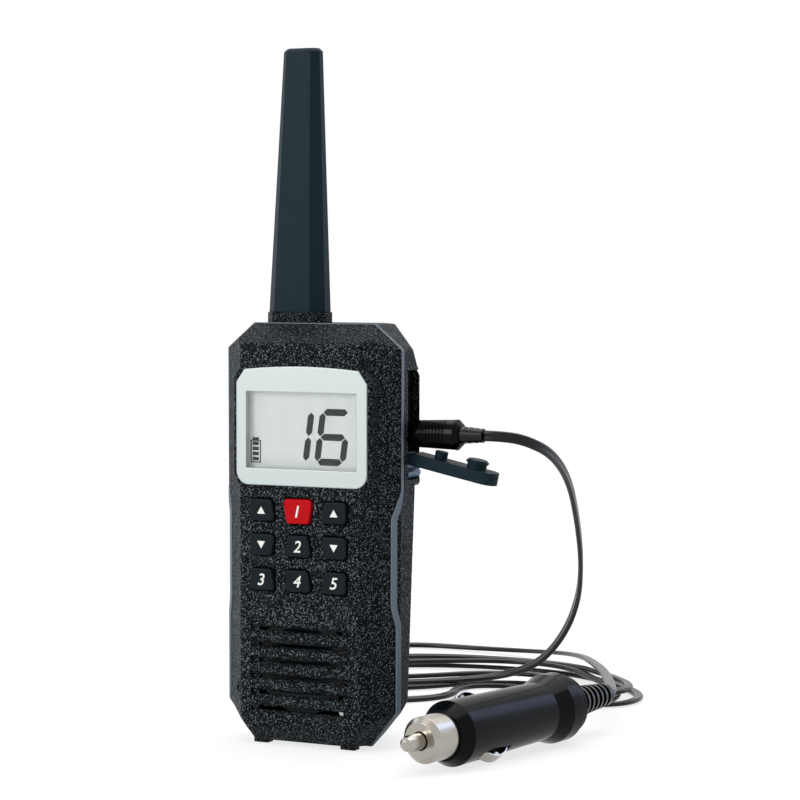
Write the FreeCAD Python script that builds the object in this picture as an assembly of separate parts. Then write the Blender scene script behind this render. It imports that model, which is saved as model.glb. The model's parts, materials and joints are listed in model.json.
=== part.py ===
# Handheld VHF marine radio with its 12 volt lead, as separate pieces in millimetres.
# +Z is up, the front faces -Y, the jacks are on +X. The origin is the base pad's centre.
import FreeCAD
import Part
import math
import os

os.makedirs("parts", exist_ok=True)
V = FreeCAD.Vector
X_AXIS = V(1, 0, 0)
Y_AXIS = V(0, 1, 0)
Z_AXIS = V(0, 0, 1)

# Housing, outer sizes
body_height = 134.0
body_width = 62.2
body_depth = 40.0
foot_height = 1.0
wall = 2.0
edge_round = 1.1
front_flat_width = 42.8
facet_depth = 9.7
top_facet_drop = 6.0
top_corner_width = 9.6
top_corner_drop = 8.0
waist_top_z = 82.0
waist_upper_z = 73.0
waist_lower_z = 45.5
waist_bottom_z = 39.0
foot_end_inset = 0.4
bottom_corner_width = 8.5
bottom_corner_height = 10.5
rear_lean_start = 9.4
rear_lean_turn_deg = 28.4
rear_lean_tilt_deg = -1.9
rear_top_cut_start = 9.4
rear_top_cut_drop = 10.05
rear_top_cut_turn_deg = 41.6
rear_top_cut_tilt_deg = 20.7
rear_bottom_cut_start = 2.9
rear_bottom_cut_inset = 2.6
rear_bottom_cut_rise = 9.9
rear_bottom_cut_turn_deg = 31.2
rear_bottom_cut_tilt_deg = -39.0
front_top_cut_lean_deg = 17.5
front_bottom_cut_lean_deg = 24.3
front_bottom_cut_inset = 0.6
back_top_drop = 8.0
back_top_depth = 7.0
back_bottom_rise = 7.0
back_bottom_depth = 5.0
front_bottom_rise = 4.4
front_bottom_depth = 2.6

# Parting line and gasket
gasket_thickness = 1.3
gasket_proud = 0.25
waist_parting_shift = 2.5
lower_parting_shift = 1.3

# General gaps
fit_gap = 0.15
moving_gap = 0.35

# Display
display_x = 0.85
bezel_width = 46.6
bezel_bottom_z = 83.0
bezel_side_top_z = 119.7
bezel_arch = 1.1
bezel_corner_width = 2.9
bezel_corner_drop = 4.1
bezel_bottom_round = 4.4
bezel_thickness = 1.3
bezel_proud = 0.4
pad_rim = 1.5
pad_proud = 0.4
pad_bevel = 1.2
window_width = 39.4
window_height = 24.4
window_centre_z = 100.5
lens_margin = 1.2
lcd_margin = 0.8
lcd_thickness = 1.8
board_plane = 7.4

# Keypad
keypad_x = -0.25
key_pitch_x = 13.0
key_pitch_z = 11.05
key_centre_z = 64.0
key_width = 8.4
key_height = 6.9
red_key_width = 9.3
red_key_height = 7.8
key_flare = 0.6
key_corner = 1.4
key_proud = 1.1
key_gap = 0.4
key_flange = 0.8
key_flange_thickness = 0.8
key_travel = 0.6
mat_thickness = 2.2
mat_margin = 2.2
dome_radius = 2.5

# Speaker and its grille
grille_width = 35.4
grille_bottom_z = 10.2
grille_pitch = 5.1
grille_count = 6
groove_height = 2.7
groove_depth = 1.0
slot_height = 1.2
slot_side_margin = 2.6
speaker_centre_z = 26.5
speaker_radius = 16.2
speaker_depth = 6.0
speaker_sheet = 0.9
magnet_radius = 9.0
magnet_depth = 4.2
mic_radius = 2.2
mic_depth = 2.4
mic_x = 15.2
mic_z = 12.4

# Main board and what is on it
board_thickness = 1.6
board_width = 48.0
board_bottom_z = 46.0
board_top_drop = 15.0
can_height = 2.6
can_left_x = -20.0
upper_can_right_x = -3.0
upper_can_bottom_z = 95.0
upper_can_top_z = 117.0
lower_can_right_x = 8.0
lower_can_bottom_z = 60.0
lower_can_top_z = 84.0

# Fasteners
screw_shank = 1.2
screw_head = 2.2
screw_head_height = 1.6
screw_boss = 2.8
rear_boss = 3.4
lower_screw_x = 20.8
upper_screw_x = 19.0
lower_screw_z = 18.0
upper_screw_drop = 10.5
screw_head_y = 10.0
counterbore_gap = 0.4

# Antenna
antenna_height = 87.4
antenna_x = -9.1
antenna_lean = 1.3
antenna_base_width = 20.2
antenna_base_depth = 11.4
antenna_tip_width = 12.8
antenna_tip_depth = 6.6
antenna_base_chamfer = 3.7
antenna_tip_chamfer = 2.1
antenna_tip_round = 1.0
collar_height = 3.5
collar_proud = 0.35
rod_radius = 2.0
rod_short_of_tip = 9.0
rod_below_nut = 1.2
nut_height = 2.5
nut_radius = 5.2

# Side keys on the left
side_key_y = -5.2
ptt_width = 5.4
ptt_length = 26.0
ptt_centre_z = 97.0
side_key_proud = 1.2
power_radius = 2.6
power_centre_z = 117.4
side_key_flange = 0.8
switch_gap = 0.9
switch_y_reach = 2.2
ptt_switch_length = 8.0
power_switch_length = 4.4

# Jack bay on the right
bay_centre_y = -1.5
bay_width = 9.0
bay_bottom_z = 85.2
bay_top_z = 119.6
bay_depth = 3.0
bay_rim = 2.2
bay_boss_back = 5.6
bay_boss_bevel = 2.9
jack_panel_thickness = 1.6
jack_panel_lap = 1.0
dc_jack_z = 99.6
dc_barrel_radius = 2.75
dc_barrel_bore = 1.05
dc_bore_gap = 0.3
accessory_jack_z = 113.2
accessory_bore_radius = 1.8
accessory_panel_hole = 2.5
jack_length = 9.5
jack_width = 7.0
dc_jack_height = 9.2
accessory_jack_height = 6.8

# Rubber jack flap, shown open
flap_hinge_z = 91.7
flap_hinge_out = 0.9
flap_droop_deg = 11.8
flap_length = 28.4
flap_width = 8.0
flap_thickness = 3.8
flap_post_at = 8.2
flap_post_radius = 2.05
flap_post_height = 2.4
flap_plug_at = 20.8
flap_plug_radius = 3.6
flap_plug_height = 2.8
flap_plug_rim = 0.5
anchor_bottom_z = 85.6
anchor_pad_top_z = 88.6
anchor_proud = 0.2

# Battery and its door at the back
door_width = 32.0
door_bottom_z = 18.0
door_top_z = 92.0
door_thickness = 2.2
door_gap = 0.3
seal_thickness = 0.8
seal_width = 1.3
battery_width = 28.0
battery_bottom_z = 28.0
battery_top_z = 89.4
battery_front_y = 4.0
bay_wall = 1.6
battery_gap = 0.5
door_screw_x = 11.5
door_screw_z = 23.0
door_screw_length = 7.0
contact_pitch = 8.0
contact_width = 3.0
contact_height = 5.0
contact_z = 82.0

# Belt clip
clip_width = 22.0
clip_thickness = 2.0
clip_gap = 5.0
clip_hinge_z = 106.0
clip_top_z = 116.0
clip_bottom_z = 46.0
clip_foot_height = 9.0
clip_foot_gap = 0.5
clip_pin_radius = 1.2
clip_pin_gap = 0.05
clip_ear_thickness = 2.4
clip_ear_radius = 3.6
clip_knuckle_radius = 3.0
clip_knuckle_width = 6.0
clip_spring_wire = 0.5

# Feet and base pad
foot_x = 15.6
foot_size_x = 5.0
foot_size_y = 3.4
foot_y = -15.4
base_pad_x = 16.0
base_pad_front = -7.0
base_pad_back = 9.0

# Grip ribs on the sides at the waist
rib_count = 4
rib_pitch = 5.0
rib_width = 1.8
rib_depth = 0.7
rib_bottom_z = 48.5

# Power plug in the side
plug_neck_radius = 3.9
plug_neck_length = 4.0
plug_small_radius = 4.3
plug_big_radius = 4.85
plug_body_length = 15.4
plug_end_bevel = 1.4
plug_groove_count = 8
plug_groove_pitch = 1.15
plug_groove_width = 0.5
plug_groove_depth = 0.35
plug_start_gap = 0.35
plug_barrel_length = 9.0
relief_radius = 2.8
relief_length = 7.4
relief_end_radius = 2.2
relief_notch_count = 3
relief_notch_width = 1.0
relief_notch_depth = 0.8

# The lead
cord_diameter = 3.0
floor_gap = 0.06
layer_gap = 0.5
cord_exit_run = 8.0
cord_join_run = 18.0
tail_end_run = 4.0

# Hank of cord behind the radio: a long loop, pinched and bent at its waist, sizes at its outermost turn
hank_centre = V(7.0, 154.0, 0)
hank_left_heading_deg = 38.0
hank_right_heading_deg = -50.0
hank_near_waist_heading_deg = 18.0
hank_first_eighth = 1
hank_last_eighth = 26
hank_first_turns_in = 1.2
hank_last_turns_in = -0.3
hank_near_waist = 36.0
hank_near_waist_right = 5.0
hank_near_waist_step = 4.2
hank_far_waist = 8.0
hank_far_waist_step = 3.8
hank_left_end = 104.0
hank_left_end_step = 9.0
hank_left_near_reach = 62.0
hank_left_near_half = 52.0
hank_left_far_reach = 50.0
hank_left_far_half = 44.0
hank_left_half_step = 13.0
hank_right_end = 80.0
hank_right_end_step = 4.0
hank_right_near_reach = 60.0
hank_right_near_half = 22.0
hank_right_far_reach = 52.0
hank_right_far_half = 24.0
hank_right_half_step = 4.4
hank_climb_eighth = 12

# Car plug on the floor
car_tip = V(51.7, -50.2, 0)
car_heading_deg = 78.6
car_tip_radius = 2.6
car_tip_length = 7.8
car_tip_hidden = 8.0
car_tip_travel = 2.5
car_nose_radius = 7.2
car_nose_bevel = 1.6
car_nose_end = 18.4
car_shell_front_radius = 7.9
car_shoulder_at = 22.5
car_body_radius = 10.2
car_waist_radius = 9.3
car_flare_at = 68.2
car_flange_at = 74.4
car_flange_radius = 11.1
car_flange_length = 5.2
car_shell_wall = 1.8
car_disc_radius = 9.6
car_disc_end = 84.8
car_relief_end = 108.0
car_relief_front_radius = 5.6
car_relief_back_radius = 3.6
car_relief_ribs = 7
car_relief_rib_width = 1.5
car_relief_rib_depth = 0.9
car_contact_at = 37.2
car_contact_length = 14.0
car_contact_width = 4.0
car_contact_thickness = 0.5
car_contact_proud = 1.5
car_contact_travel = 1.2
car_contact_turn_deg = -38.0
car_fuse_radius = 3.1
car_fuse_length = 25.0
car_spring_radius = 2.6
car_spring_wire = 0.5
car_spring_length = 6.0

# Planes and places worked out from the sizes above
front_y = -body_depth / 2
back_y = body_depth / 2
half_width = body_width / 2
half_flat = front_flat_width / 2
parting_y = front_y + facet_depth
inner_front_y = front_y + wall
inner_side_x = half_width - wall
board_y = front_y + board_plane
board_back_y = board_y + board_thickness
board_top_z = body_height - board_top_drop
upper_screw_z = body_height - upper_screw_drop
antenna_y = parting_y + gasket_thickness + fit_gap + antenna_base_depth / 2 + collar_proud


def save(shape, name):
    """Write one node's solids to its own file."""
    assert shape.isValid(), name
    shape.exportStep("parts/" + name + ".step")
    print(name, len(shape.Solids), round(shape.Volume, 1))


def box(x0, x1, y0, y1, z0, z1):
    """Box between two corners."""
    return Part.makeBox(x1 - x0, y1 - y0, z1 - z0, V(x0, y0, z0))


def prism(points, along):
    """Straight prism of a closed polygon."""
    return Part.Face(Part.makePolygon(points + points[:1])).extrude(along)


def rod(radius, start, direction, length):
    return Part.makeCylinder(radius, length, start, direction)


def group(shapes):
    return Part.makeCompound(shapes)


def inset(points, distance):
    """Move every side of an anticlockwise 2-D polygon inwards and join the sides again."""
    moved = []
    count = len(points)
    for i in range(count):
        before, here, after = points[i - 1], points[i], points[(i + 1) % count]
        lines = []
        for a, b in ((before, here), (here, after)):
            length = math.hypot(b[0] - a[0], b[1] - a[1])
            nx, ny = -(b[1] - a[1]) / length, (b[0] - a[0]) / length
            lines.append((nx, ny, nx * a[0] + ny * a[1] + distance))
        (n1, m1, c1), (n2, m2, c2) = lines
        det = n1 * m2 - n2 * m1
        moved.append(((c1 * m2 - c2 * m1) / det, (n1 * c2 - n2 * c1) / det))
    return moved


def mirrored(right_side):
    """Close a right-hand outline that runs upwards into a whole anticlockwise one."""
    return right_side + [(-x, z) for x, z in reversed(right_side)]


def front_outline():
    """The housing seen from the front."""
    return mirrored([
        (half_width - foot_end_inset - bottom_corner_width, foot_height),
        (half_width - foot_end_inset, foot_height + bottom_corner_height),
        (half_width, body_height - top_corner_drop),
        (half_width - top_corner_width, body_height),
    ])


def plan_outline():
    """The housing seen from above."""
    right = [
        (half_flat, front_y),
        (half_width, parting_y),
        (half_width, back_y),
    ]
    return mirrored(right)


def side_outline():
    """The housing seen from its right side, as (y, z)."""
    return [
        (front_y, foot_height + front_bottom_rise),
        (front_y + front_bottom_depth, foot_height),
        (back_y - back_bottom_depth, foot_height),
        (back_y, foot_height + back_bottom_rise),
        (back_y, body_height - back_top_drop),
        (back_y - back_top_depth, body_height),
        (parting_y, body_height),
        (front_y, body_height - top_facet_drop),
    ]


def facing(turn_deg, tilt_deg):
    """The way a slanted face looks, turned from +X to the back and tilted upwards."""
    turn, tilt = math.radians(turn_deg), math.radians(tilt_deg)
    return V(math.cos(turn) * math.cos(tilt), math.sin(turn) * math.cos(tilt), math.sin(tilt))


def facing_front(width, rise, lean_deg):
    """The way the cut along a front corner looks: square to the corner, leant to the front."""
    lean = math.radians(lean_deg)
    flat = math.cos(lean) / math.hypot(width, rise)
    return V(abs(rise) * flat, -math.sin(lean), math.copysign(width, rise) * flat)


def corner_cuts():
    """Slanted faces of the right side, each as a point on it and the way it looks."""
    foot_x = half_width - foot_end_inset
    return [
        (V(half_width, parting_y + rear_lean_start, waist_top_z),
         facing(rear_lean_turn_deg, rear_lean_tilt_deg)),
        rear_top_cut(),
        (V(half_width - rear_bottom_cut_inset, parting_y + rear_bottom_cut_start,
           foot_height + rear_bottom_cut_rise), facing(rear_bottom_cut_turn_deg, rear_bottom_cut_tilt_deg)),
        (V(half_width, parting_y, body_height - top_corner_drop),
         facing_front(top_corner_width, top_corner_drop, front_top_cut_lean_deg)),
        (V(foot_x - front_bottom_cut_inset, parting_y, foot_height + bottom_corner_height),
         facing_front(bottom_corner_width, -bottom_corner_height, front_bottom_cut_lean_deg)),
    ]


def rear_top_cut():
    place = V(half_width, parting_y + rear_top_cut_start, body_height - rear_top_cut_drop)
    return place, facing(rear_top_cut_turn_deg, rear_top_cut_tilt_deg)


def beyond(place, way, distance):
    """The space outside a slanted face that is moved in by a distance, on both sides."""
    reach = 2 * body_height
    spaces = []
    for side in (-1, 1):
        look = V(side * way.x, way.y, way.z)
        start = V(side * place.x, place.y, place.z) - look * distance
        spaces.append(rod(reach, start, look, reach))
    return spaces


def body_block(distance):
    """The faceted block of the housing, with each side moved in by a distance."""
    reach = 2 * body_height
    front = [V(x, -reach / 2, z) for x, z in inset(front_outline(), distance)]
    plan = [V(x, y, -reach / 2) for x, y in inset(plan_outline(), distance)]
    side = [V(-reach / 2, y, z) for y, z in inset(side_outline(), distance)]
    block = prism(front, V(0, reach, 0)).common(prism(plan, V(0, 0, 2 * reach)))
    block = block.common(prism(side, V(reach, 0, 0)))
    for place, way in corner_cuts():
        block = block.cut(beyond(place, way, distance))
    return block


def parting_region(shift):
    """Everything in front of the parting line, moved back by a shift."""
    reach = 2 * body_height
    waist_y = parting_y - waist_parting_shift
    lower_y = parting_y - lower_parting_shift
    line = [
        (parting_y, body_height + wall * 3),
        (parting_y, waist_top_z),
        (waist_y, waist_upper_z),
        (waist_y, waist_lower_z),
        (lower_y, waist_bottom_z),
        (lower_y, -wall * 3),
    ]
    points = [V(-reach / 2, y + shift, z) for y, z in line]
    points += [V(-reach / 2, -reach, -wall * 3), V(-reach / 2, -reach, body_height + wall * 3)]
    return prism(points, V(reach, 0, 0))


def rounded_block():
    """The housing's block with its edges rounded."""
    block = body_block(0)
    return block.makeFillet(edge_round, block.Edges)


def bezel_outline(grow):
    """Bezel outline: arched top, cut top corners, round bottom corners; a face in XZ at y 0."""
    half = bezel_width / 2 + grow
    low = bezel_bottom_z - grow
    top = bezel_side_top_z + grow
    cut_x = half - bezel_corner_width
    cut_z = top - bezel_corner_drop
    r = bezel_bottom_round + grow
    k = r * (1 - math.sqrt(0.5))
    left_low = V(-half + k, 0, low + k)
    right_low = V(half - k, 0, low + k)
    edges = [
        Part.LineSegment(V(-half + r, 0, low), V(half - r, 0, low)).toShape(),
        Part.Arc(V(half - r, 0, low), right_low, V(half, 0, low + r)).toShape(),
        Part.LineSegment(V(half, 0, low + r), V(half, 0, cut_z)).toShape(),
        Part.LineSegment(V(half, 0, cut_z), V(cut_x, 0, top)).toShape(),
        Part.Arc(V(cut_x, 0, top), V(0, 0, top + bezel_arch), V(-cut_x, 0, top)).toShape(),
        Part.LineSegment(V(-cut_x, 0, top), V(-half, 0, cut_z)).toShape(),
        Part.LineSegment(V(-half, 0, cut_z), V(-half, 0, low + r)).toShape(),
        Part.Arc(V(-half, 0, low + r), left_low, V(-half + r, 0, low)).toShape(),
    ]
    outline = Part.Face(Part.Wire(edges))
    outline.translate(V(display_x, 0, 0))
    return outline


def plate(face, y0, y1):
    """A flat face in XZ made a plate between two depths."""
    solid = face.extrude(V(0, y1 - y0, 0))
    solid.translate(V(0, y0, 0))
    return solid


def display_pad():
    """Raised pad round the bezel, bevelled at its front edge."""
    pad_back = front_y + facet_depth / 2
    pad = plate(bezel_outline(pad_rim), front_y - pad_proud, pad_back)
    edges = [e for e in pad.Edges if e.BoundBox.YMax < front_y - pad_proud + 0.01]
    return pad.makeChamfer(pad_bevel / 2, edges)


def window_box(margin, y0, y1):
    half = window_width / 2 + margin
    half_z = window_height / 2 + margin
    return box(display_x - half, display_x + half, y0, y1,
               window_centre_z - half_z, window_centre_z + half_z)


def key_face(column, row, grow):
    """A key's outline in XZ: four sides, two of them flared towards the middle column."""
    is_red = column == 0 and row == 1
    half = (red_key_width if is_red else key_width) / 2 + grow
    half_z = (red_key_height if is_red else key_height) / 2 + grow
    x = keypad_x + column * key_pitch_x
    z = key_centre_z + row * key_pitch_z
    wide_top = is_red or (row == 0 and column != 0)
    flare = key_flare if wide_top else -key_flare
    top_left = half + (flare if column >= 0 else 0)
    top_right = half + (flare if column <= 0 else 0)
    low_left = half - (flare if column >= 0 else 0)
    low_right = half - (flare if column <= 0 else 0)
    points = [V(x - low_left, 0, z - half_z), V(x + low_right, 0, z - half_z),
              V(x + top_right, 0, z + half_z), V(x - top_left, 0, z + half_z)]
    return Part.Face(Part.makePolygon(points + points[:1]))


def key_plate(column, row, grow, y0, y1):
    """A key-shaped plate with rounded corners."""
    solid = plate(key_face(column, row, grow), y0, y1)
    corners = [e for e in solid.Edges if e.BoundBox.YLength > (y1 - y0) / 2]
    return solid.makeFillet(key_corner + grow, corners)


key_places = [(column, row) for row in (1, 0, -1) for column in (-1, 0, 1)]
key_names = ["key_up_left", "key_red", "key_up_right", "key_down_left", "key_middle",
             "key_down_right", "key_lower_left", "key_lower_middle", "key_lower_right"]


def screw_places():
    levels = ((lower_screw_x, lower_screw_z), (upper_screw_x, upper_screw_z))
    return [(side * x, z) for x, z in levels for side in (-1, 1)]


def boss_end_y(z):
    """Where a front boss meets a rear boss, at the gasket's back face."""
    lower = z < waist_bottom_z
    return parting_y + gasket_thickness - (lower_parting_shift if lower else 0)


def grille_levels():
    return [grille_bottom_z + groove_height / 2 + i * grille_pitch for i in range(grille_count)]


def front_housing(block, cavity):
    shell = block.fuse(display_pad().cut(body_block(wall / 2))).cut(cavity)
    shell = shell.common(parting_region(0))
    bosses = [rod(screw_boss, V(x, front_y + wall / 2, z), Y_AXIS, boss_end_y(z) - front_y - wall / 2)
              for x, z in screw_places()]
    shell = shell.fuse(bosses)
    bezel_seat = plate(bezel_outline(fit_gap), front_y - 2 * wall, front_y - bezel_proud + bezel_thickness)
    lens_hole = window_box(lens_margin + fit_gap, front_y - wall, inner_front_y + wall)
    lcd_room = window_box(lens_margin + lcd_margin + fit_gap, inner_front_y, board_y)
    shell = shell.cut([bezel_seat, lens_hole, lcd_room])
    holes = [key_plate(c, r, key_gap, front_y - wall, inner_front_y + wall / 2) for c, r in key_places]
    shell = shell.cut(holes)
    grooves = []
    for z in grille_levels():
        half = grille_width / 2
        low = z - groove_height / 2
        groove = [V(-half, front_y - 1, low), V(-half, front_y, low),
                  V(-half, front_y + groove_depth, z - slot_height / 2),
                  V(-half, front_y + groove_depth, z + slot_height / 2),
                  V(-half, front_y, z + groove_height / 2), V(-half, front_y - 1, z + groove_height / 2)]
        grooves.append(prism(groove, V(2 * half, 0, 0)))
        inner = half - slot_side_margin
        grooves.append(box(-inner, inner, front_y, inner_front_y + wall / 2,
                           z - slot_height / 2, z + slot_height / 2))
    shell = shell.cut(grooves)
    pilots = [rod(screw_shank, V(x, inner_front_y, z), Y_AXIS, body_depth) for x, z in screw_places()]
    shell = shell.cut(pilots)
    feet = [box(side * foot_x - foot_size_x / 2, side * foot_x + foot_size_x / 2,
                foot_y - foot_size_y / 2, foot_y + foot_size_y / 2, 0, foot_height + wall / 2)
            for side in (-1, 1)]
    return shell.fuse(feet).removeSplitter()


def gasket(cavity):
    ring = body_block(-gasket_proud).cut(cavity)
    return ring.common(parting_region(gasket_thickness)).cut(parting_region(0))


def bay_boss():
    """Thick side wall round the jack bay."""
    inner = half_width - bay_depth
    y0 = bay_centre_y - bay_width / 2 - bay_rim
    points = [V(inner, y0, 0), V(half_width, y0, 0), V(half_width, bay_boss_back - bay_boss_bevel, 0),
              V(half_width - bay_boss_bevel, bay_boss_back, 0), V(inner, bay_boss_back, 0)]
    boss = prism(points, V(0, 0, bay_top_z - bay_bottom_z + 2 * bay_rim))
    boss.translate(V(0, 0, bay_bottom_z - bay_rim))
    top = [e for e in boss.Edges if e.BoundBox.ZLength < 0.01 and e.BoundBox.XMin > half_width - 0.01]
    return boss.makeChamfer(bay_rim / 2, top).cut(beyond(*rear_top_cut(), 0))


def bay_window():
    half = bay_width / 2
    return box(half_width - bay_depth, half_width + wall, bay_centre_y - half, bay_centre_y + half,
               bay_bottom_z, bay_top_z)


def jack_panel_plate():
    half = bay_width / 2 + jack_panel_lap
    back = half_width - bay_depth
    return box(back - jack_panel_thickness, back, bay_centre_y - half, bay_centre_y + half,
               bay_bottom_z - jack_panel_lap, bay_top_z + jack_panel_lap)


def rear_housing(block, cavity):
    shell = block.cut(cavity).cut(parting_region(gasket_thickness))
    bay_half = door_width / 2 + bay_wall
    bay = box(-bay_half, bay_half, battery_front_y - bay_wall, back_y - wall / 2,
              door_bottom_z - bay_wall, door_top_z + bay_wall)
    shell = shell.fuse([bay.common(block), bay_boss()])
    bosses = []
    for x, z in screw_places():
        start = V(x, boss_end_y(z), z)
        bosses.append(rod(rear_boss, start, Y_AXIS, back_y - boss_end_y(z)).common(block))
    shell = shell.fuse(bosses)
    hollow_half = battery_width / 2 + battery_gap
    seat_y = back_y - door_thickness - seal_thickness
    hollow = box(-hollow_half, hollow_half, battery_front_y, back_y + wall,
                 battery_bottom_z - battery_gap, battery_top_z + battery_gap)
    door_hole = box(-door_width / 2, door_width / 2, seat_y, back_y + wall, door_bottom_z, door_top_z)
    shell = shell.cut([hollow, door_hole, bay_window(), jack_panel_plate()])
    cuts = []
    for x, z in screw_places():
        head = screw_head + counterbore_gap
        cuts.append(rod(head, V(x, screw_head_y - screw_head_height, z), Y_AXIS, body_depth))
        cuts.append(rod(screw_shank + fit_gap, V(x, front_y, z), Y_AXIS, body_depth))
    for side in (-1, 1):
        cuts.append(rod(screw_shank, V(side * door_screw_x, back_y - door_screw_length - wall, door_screw_z),
                        Y_AXIS, door_screw_length + wall))
        for i in range(rib_count):
            z = rib_bottom_z + i * rib_pitch
            edge = side * half_width
            cuts.append(box(edge - rib_depth, edge + rib_depth, parting_y + gasket_thickness - rib_depth,
                            back_y, z, z + rib_width))
    cuts.append(side_key_hole(ptt_width / 2 + moving_gap, ptt_length / 2 + moving_gap, ptt_centre_z))
    power_place = V(-half_width - wall, side_key_y, power_centre_z)
    cuts.append(rod(power_radius + moving_gap, power_place, X_AXIS, 3 * wall))
    antenna_place = V(antenna_x, antenna_y, body_height - 3 * wall)
    cuts.append(rod(rod_radius + moving_gap, antenna_place, Z_AXIS, 6 * wall))
    for i in (-1, 0, 1):
        cuts.append(contact_block(i))
    shell = shell.cut(cuts)
    pad = box(-base_pad_x / 2, base_pad_x / 2, base_pad_front, base_pad_back, 0, foot_height + wall / 2)
    return shell.fuse([pad] + clip_ears()).removeSplitter()


def contact_block(i):
    x = i * contact_pitch
    return box(x - contact_width / 2, x + contact_width / 2, battery_front_y - bay_wall, battery_front_y,
               contact_z - contact_height / 2, contact_z + contact_height / 2)


def side_key_hole(half_y, half_z, z):
    hole = box(-half_width - wall, -inner_side_x + wall, side_key_y - half_y, side_key_y + half_y,
               z - half_z, z + half_z)
    corners = [e for e in hole.Edges if e.BoundBox.XLength > wall]
    return hole.makeFillet(key_corner + moving_gap, corners)


def ptt_button():
    """Push-to-talk bar: a proud rounded bar with a flange inside the wall."""
    inner = -inner_side_x + moving_gap
    bar = box(-half_width - side_key_proud, inner, side_key_y - ptt_width / 2, side_key_y + ptt_width / 2,
              ptt_centre_z - ptt_length / 2, ptt_centre_z + ptt_length / 2)
    corners = [e for e in bar.Edges if e.BoundBox.XLength > wall]
    bar = bar.makeFillet(key_corner, corners)
    front = [e for e in bar.Edges if e.BoundBox.XMax < -half_width - side_key_proud + 0.01]
    bar = bar.makeFillet(key_corner / 2, front)
    half_y = ptt_width / 2 + side_key_flange
    half_z = ptt_length / 2 + side_key_flange
    flange = box(inner, inner + side_key_flange, side_key_y - half_y, side_key_y + half_y,
                 ptt_centre_z - half_z, ptt_centre_z + half_z)
    return bar.fuse(flange).removeSplitter()


def power_button():
    inner = -inner_side_x + moving_gap
    outer = -half_width - side_key_proud
    knob = rod(power_radius, V(outer, side_key_y, power_centre_z), X_AXIS, inner - outer)
    rim = [e for e in knob.Edges if e.BoundBox.XMax < outer + 0.01]
    knob = knob.makeFillet(key_corner / 2, rim)
    place = V(inner, side_key_y, power_centre_z)
    flange = rod(power_radius + side_key_flange, place, X_AXIS, side_key_flange)
    return knob.fuse(flange).removeSplitter()


def side_switches():
    """Two side-acting switches on the board's left edge."""
    face_x = -inner_side_x + moving_gap + side_key_flange + switch_gap
    edge_x = -board_width / 2 + 1
    solids = []
    for z, length in ((ptt_centre_z, ptt_switch_length), (power_centre_z - 1, power_switch_length)):
        solids.append(box(face_x, edge_x, board_back_y, side_key_y + switch_y_reach,
                          z - length / 2, z + length / 2))
    return group(solids)


def jack_body(z, height, radius):
    """Socket block behind the jack panel, standing on the board."""
    front_x = half_width - bay_depth - jack_panel_thickness
    block = box(front_x - jack_length, front_x, board_back_y, bay_centre_y + jack_width / 2,
                z - height / 2, z + height / 2)
    return block.cut(rod(radius, V(front_x - jack_length - 1, bay_centre_y, z), X_AXIS, jack_length + 2))


def jack_panel():
    start = V(half_width - bay_depth - 2 * jack_panel_thickness, bay_centre_y, dc_jack_z)
    plug_hole = rod(dc_barrel_radius + dc_bore_gap, start, X_AXIS, 3 * jack_panel_thickness)
    start = V(start.x, start.y, accessory_jack_z)
    accessory_hole = rod(accessory_panel_hole, start, X_AXIS, 3 * jack_panel_thickness)
    return jack_panel_plate().cut([plug_hole, accessory_hole])


def flap_axis():
    return V(half_width + flap_hinge_out, bay_centre_y, flap_hinge_z)


def jack_flap():
    """Rubber strap with two stubs, drawn level from its hinge and then drooped."""
    half = flap_thickness / 2
    half_w = flap_width / 2
    knuckle = rod(half, V(0, -half_w, 0), Y_AXIS, flap_width)
    strap = box(0, flap_length - half_w, -half_w, half_w, -half, half)
    tip = rod(half_w, V(flap_length - half_w, 0, -half), Z_AXIS, flap_thickness)
    post = rod(flap_post_radius, V(flap_post_at, 0, 0), Z_AXIS, half + flap_post_height)
    stub = rod(flap_plug_radius - flap_plug_rim, V(flap_plug_at, 0, 0), Z_AXIS, half + flap_plug_height)
    rim_z = half + flap_plug_height - 2 * flap_plug_rim
    rim = rod(flap_plug_radius, V(flap_plug_at, 0, rim_z), Z_AXIS, flap_plug_rim)
    flap = knuckle.fuse([strap, tip, post, stub, rim]).removeSplitter()
    flap.rotate(V(0, 0, 0), Y_AXIS, flap_droop_deg)
    flap.translate(flap_axis())
    return flap


def flap_anchor():
    """Fixed root of the strap, pressed into the lower end of the bay."""
    floor_x = half_width - bay_depth
    half = bay_width / 2 - fit_gap
    y0, y1 = bay_centre_y - half, bay_centre_y + half
    knuckle_reach = flap_axis().x - flap_thickness / 2 - moving_gap
    root = box(floor_x, knuckle_reach, y0, y1, anchor_bottom_z, flap_hinge_z + flap_thickness / 2)
    pad = box(floor_x, half_width + anchor_proud, y0, y1, anchor_bottom_z, anchor_pad_top_z)
    corners = [e for e in pad.Edges if e.BoundBox.YLength > wall and e.BoundBox.XMin > half_width]
    return root.fuse(pad.makeChamfer(wall / 2, corners)).removeSplitter()


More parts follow.
